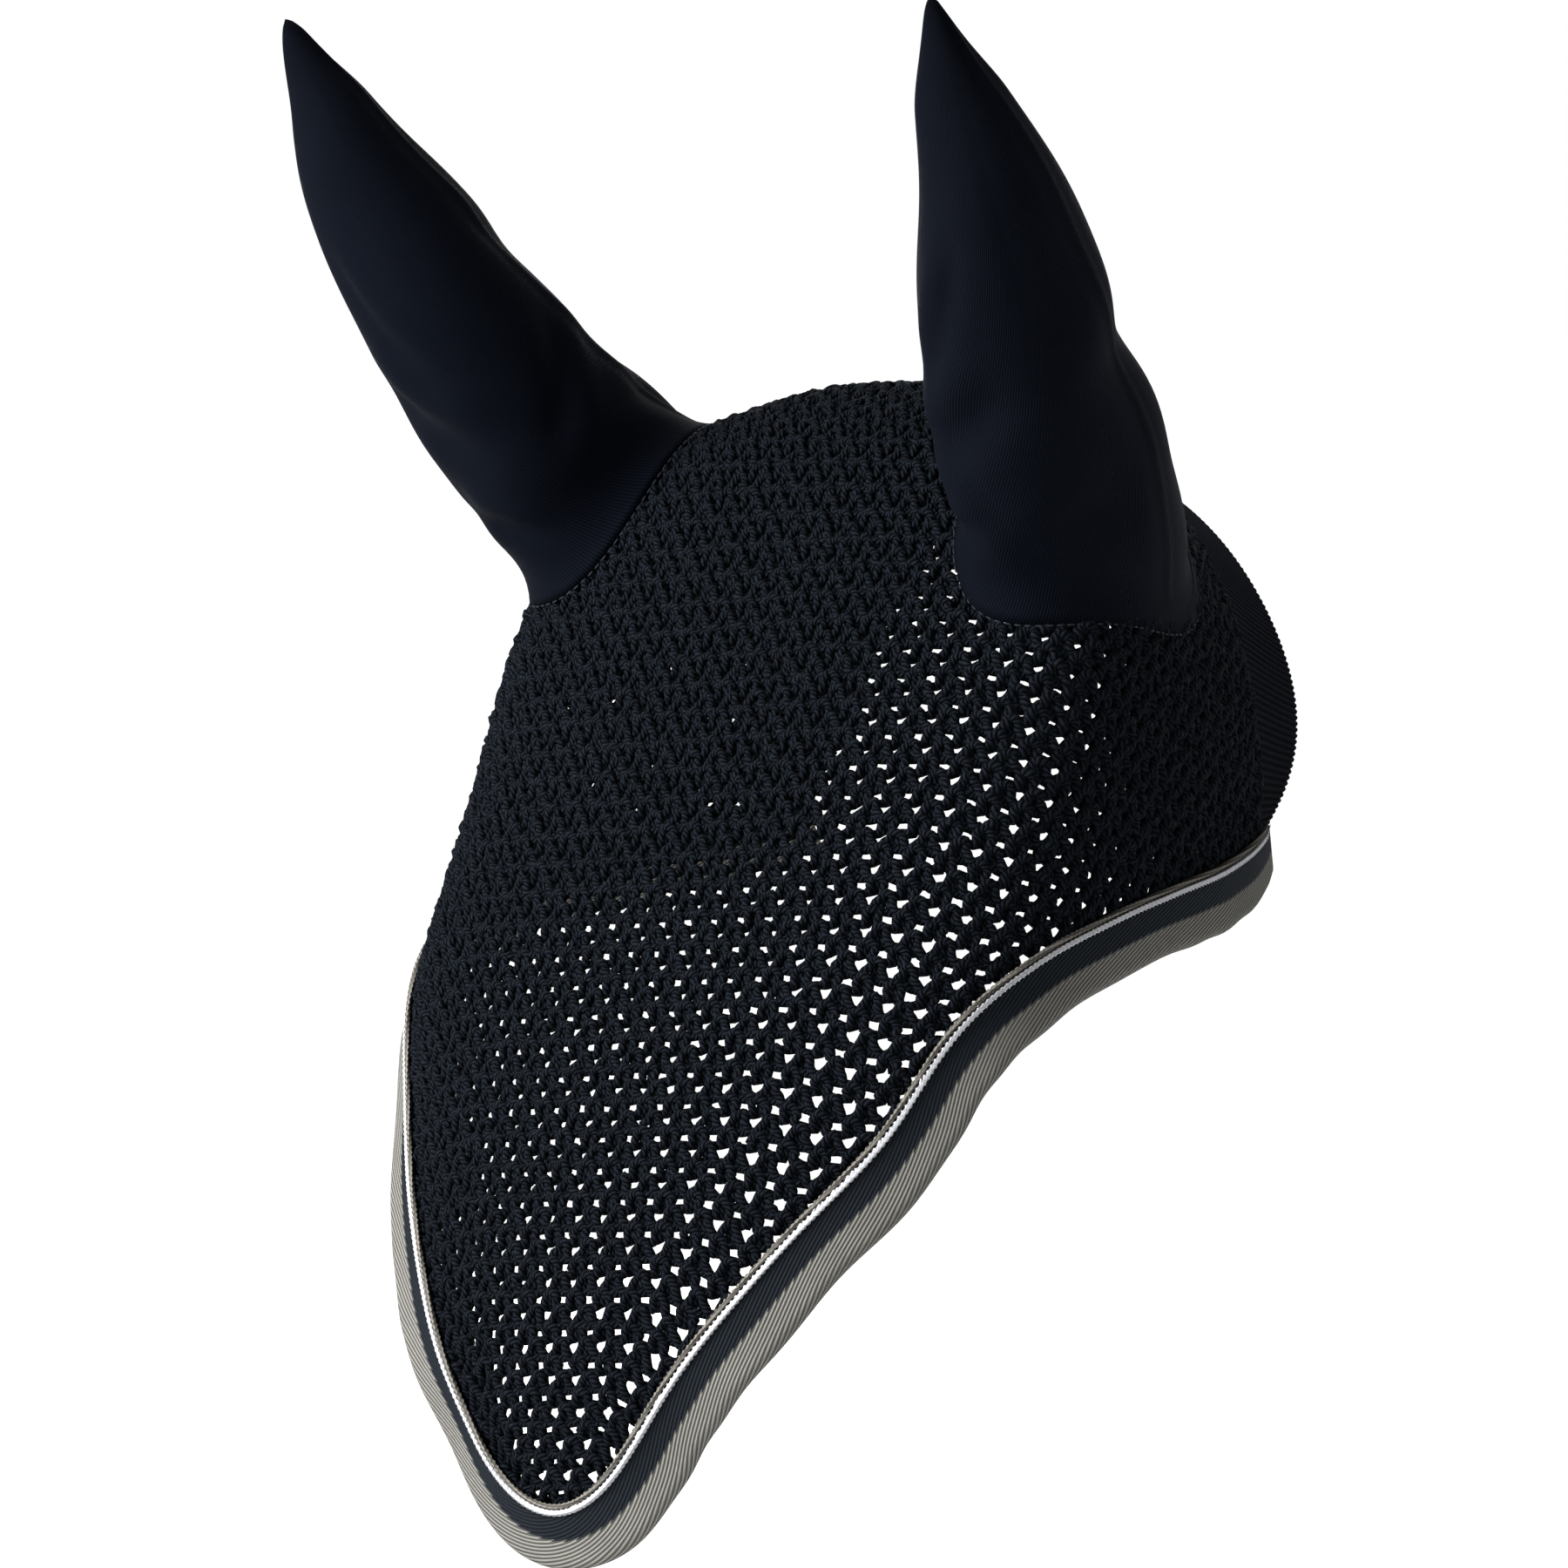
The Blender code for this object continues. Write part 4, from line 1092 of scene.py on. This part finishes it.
def ear_seam(hand, side, edge, bend):
    """The overlocked edges of the panels, inside one seam."""
    name = f"{hand}_ear_{edge}"
    angle = SEAMS[edge]
    share = np.linspace(*FLAP_SHARES, 90)
    grows = np.array(FLAP_DEPTHS)
    grid = sleeve_point(angle, share[:, None], sleeve_swell(angle, share)[:, None] + grows[None, :])
    waved = grid + flap_wave(share)[:, None, None] * EAR_FORE
    half = FLAP_HALF * EAR_FORE
    places = cloth_places(share[:, None] * EAR_LENGTH, -grows[None, :])
    allowance = cloth(name + "_allowance", waved + half, waved - half, places, TWILL, side=side)
    wind = np.arange(LOCK_POINTS)
    along = LOCK_START + LOCK_SHARE * wind / LOCK_POINTS
    aside = flap_wave(along) + LOCK_SWING * looped(wind, 0.0, 1.0, 0.0, -1.0, 0.0)
    depth = looped(wind, *LOCK_DEPTHS) + sleeve_swell(angle, along)
    loops = sleeve_point(angle, along, depth) + aside[:, None] * EAR_FORE
    overlock = grown(name + "_overlock", [on_side(side, loops)], STRANDS, **SEAM_THREAD)
    for piece, slot in ((allowance, "ear_twill"), (overlock, "sewing_thread")):
        settle(piece, slot, name, ear=hand + "_ear", bend=bend)


def ear(hand, side):
    foot = base_point(np.linspace(0, 2 * np.pi, 60), SLEEVE_FLARE, LAID_LIFT)
    reach = ((foot - EAR_BASE) @ EAR_LINE).max()
    heights = (reach, reach + SLEEVE_BEND)
    bend = [on_side(side, EAR_BASE + height * EAR_LINE) for height in heights]
    sleeve, width, height = ear_sleeve(hand, side, bend)
    hem = ear_hem(hand, side)
    ear_hem_stitches(hand, side)
    for edge in SEAMS:
        ear_seam(hand, side, edge, bend)


# Sewing

THREAD_ROOM = 0.0002  # how far a stitch stands off the cloth
EDGE_STITCH = {"Pitch": 0.0032, "Length": 0.0028, "Radius": 0.00034}
EDGE_STITCH_OUT = 0.0025
LOOP_POINTS = 6  # of an overlock thread in one loop
FLAP_SHARES = (0.04, 0.80)  # where an ear seam's allowance starts and ends
FLAP_DEPTHS = (-0.0018, -0.0035, -0.0052, -0.0068)
FLAP_HALF = 0.0006
FLAP_WAVE = (0.0006, 60)  # how far it waves, and how fast
LOCK_POINTS = 900
LOCK_START, LOCK_SHARE = 0.05, 0.74  # shares of the height
LOCK_SWING = 0.0011  # how far a loop goes to both sides of the allowance
LOCK_DEPTHS = (-0.0030, -0.0056, -0.0074, -0.0056, -0.0030)
RIB_SEAM_PLACE = 0.96  # lateral place at which the rib's seam ends
RIB_LOOP_STATIONS = (-0.04, 0.05, -0.04)
RIB_LOOP_DEPTHS = (0.0006, 0.0018, 0.0006, 0.0012, 0.0006)


def thread_finish():
    material, tree, places = new_finish("navy_sewing_thread", 0.55)
    uneven = noise(tree, places["Object"], 900.0)
    return finished(material, mixed(tree, uneven, (0.009, 0.010, 0.016), (0.022, 0.025, 0.036)))


THREAD = thread_finish()
SEAM_THREAD = {"Radius": 0.00030, "Sides": 4, "Finish": THREAD, **PLAIN_STRAND}
RIB_THREAD = {"Radius": 0.00042, "Sides": 5, "Finish": THREAD, **PLAIN_STRAND}


def looped(wind, *values):
    """What a thread goes through in each loop."""
    return np.interp(wind % LOOP_POINTS, np.linspace(0, LOOP_POINTS, len(values)), values)


def flap_wave(share):
    return FLAP_WAVE[0] * np.sin(share * FLAP_WAVE[1])


def edge_stitches():
    """The row of stitches along the tape's inner leaf."""
    lift = CROCHET_WALL / 2 + TAPE_ROOM + TAPE_WALL + THREAD_ROOM
    line = (EDGE + EDGE_STITCH_OUT * EDGE_OUTS - lift * EDGE_NORMALS)[::2]
    piece = grown("binding_lockstitch", [line], STITCHES, Finish=THREAD, **EDGE_STITCH)
    settle(piece, "sewing_thread", "binding_stitching")


def rib_seam():
    """The overlocked seam between crochet and rib, on the inside."""
    fine = np.linspace(-RIB_SEAM_PLACE, RIB_SEAM_PLACE, 1200)
    run = run_of(hood_point(RIB_STATION, fine))
    q = np.interp(np.linspace(0, run[-1], LOCK_POINTS), run, fine)
    wind = np.arange(LOCK_POINTS)
    u = RIB_STATION + looped(wind, *RIB_LOOP_STATIONS)
    depth = CROCHET_WALL / 2 + looped(wind, *RIB_LOOP_DEPTHS)
    line = hood_point(u, q) - depth[:, None] * hood_normal(u, q)
    piece = grown("rib_seam_overlock", [line], STRANDS, **RIB_THREAD)
    settle(piece, "sewing_thread", "rib_seam_thread")


# Stage

VIEW_AZIMUTH = math.radians(40.0)
VIEW_ELEVATION = math.radians(4.0)
VIEW_DISTANCE = 2.0
FRAME_WIDTH = 0.45  # what the frame spans at the crown
FRAME_CENTRE = (-0.02125, -0.110)  # the frame's middle from the crown, along right and up
SENSOR = 36.0
AMBIENT = 0.10  # strength of the light from all round
LAMP_TARGET = np.array((0.0, -0.03, -0.10))
LAMPS = (
    # name, place along the view's right, up and back, size and power
    ("key", (-0.74, 0.30, 0.42), 0.5, 17.0),
    ("fill", (1.0, -0.3, 1.0), 0.8, 5.0),
    ("rear", (0.0, 0.35, -1.3), 0.9, 9.0),
)
FLOOR_DROP = 0.12
FLOOR_GLOW = {"From_Min": 0.5, "From_Max": 1.8, "To_Min": 0.66, "To_Max": 0.92}
WHITE = (1.0, 1.0, 1.0)

VIEW_RIGHT = np.array((math.cos(VIEW_AZIMUTH), math.sin(VIEW_AZIMUTH), 0.0))
VIEW_BACK = math.cos(VIEW_ELEVATION) * np.array((VIEW_RIGHT[1], -VIEW_RIGHT[0], 0.0))
VIEW_BACK[2] = math.sin(VIEW_ELEVATION)
VIEW_AXES = np.stack([VIEW_RIGHT, np.cross(VIEW_BACK, VIEW_RIGHT), VIEW_BACK])


def aim(name, data, place, right, up, back):
    made = add_object(name, data)
    turn = Matrix(np.stack([right, up, back], axis=1).tolist())
    made.matrix_world = Matrix.Translation(place.tolist()) @ turn.to_4x4()
    return made


def camera():
    data = bpy.data.cameras.new("camera")
    data.sensor_width = SENSOR
    data.lens = SENSOR * VIEW_DISTANCE / FRAME_WIDTH
    data.clip_end = 50.0
    place = np.array((*FRAME_CENTRE, VIEW_DISTANCE)) @ VIEW_AXES
    bpy.context.scene.camera = aim("camera", data, place, *VIEW_AXES)


def lamp(name, right_up_back, size, power):
    """A square soft light aimed at the hood."""
    place = np.array(right_up_back) @ VIEW_AXES + LAMP_TARGET
    data = bpy.data.lights.new(name, "AREA")
    data.shape = "SQUARE"
    data.size = size
    data.energy = power
    back = unit(place - LAMP_TARGET)
    right = unit(np.cross((0.0, 0.0, 1.0), back))
    aim(name, data, place, right, np.cross(back, right), back)


def seen_directly(tree):
    """1 for rays that show the background: from the camera, glossy or transmitted."""
    path = node(tree, "LightPath").outputs
    seen = calc(tree, "MAXIMUM", path["Is Camera Ray"], path["Is Glossy Ray"])
    return calc(tree, "MAXIMUM", seen, path["Is Transmission Ray"])


def floor_finish():
    material, tree, places = new_finish("pale_floor", 0.9, gloss=0.5)
    length = {"operation": "LENGTH"}
    away = node(tree, "VectorMath", length, Vector=places["Object"]).outputs["Value"]
    eased = {"interpolation_type": "SMOOTHSTEP"}
    far = output(tree, "MapRange", eased, Value=away, **FLOOR_GLOW)
    inputs = tree.nodes["Principled BSDF"].inputs
    fill(tree, inputs["Emission Color"], WHITE)
    fill(tree, inputs["Emission Strength"], calc(tree, "MULTIPLY", seen_directly(tree), far))
    return finished(material, (0.86, 0.86, 0.86))


def studio():
    world = bpy.data.worlds.new("studio")
    bpy.context.scene.world = world
    world.use_nodes = True
    tree = world.node_tree
    inputs = tree.nodes["Background"].inputs
    strength = calc(tree, "MULTIPLY_ADD", seen_directly(tree), 1.0 - AMBIENT, AMBIENT)
    fill(tree, inputs["Strength"], strength)
    fill(tree, inputs["Color"], WHITE)
    for row in LAMPS:
        lamp(*row)
    low, far = cad_box[0].z - FLOOR_DROP, 40
    corners = [(-far, -far, low), (far, -far, low), (far, far, low), (-far, far, low)]
    mesh = bpy.data.meshes.new("floor")
    mesh.from_pydata(corners, [], [(0, 1, 2, 3)])
    mesh.materials.append(floor_finish())
    add_object("floor", mesh)
    bpy.context.scene.view_settings.view_transform = "Standard"


camera()
studio()
crochet()
rib_poll_band()
rib_seam()
edge_binding()
edge_stitches()
edge_cords()
for hand, side in (("left", 1), ("right", -1)):
    ear(hand, side)
bpy.context.view_layer.update()
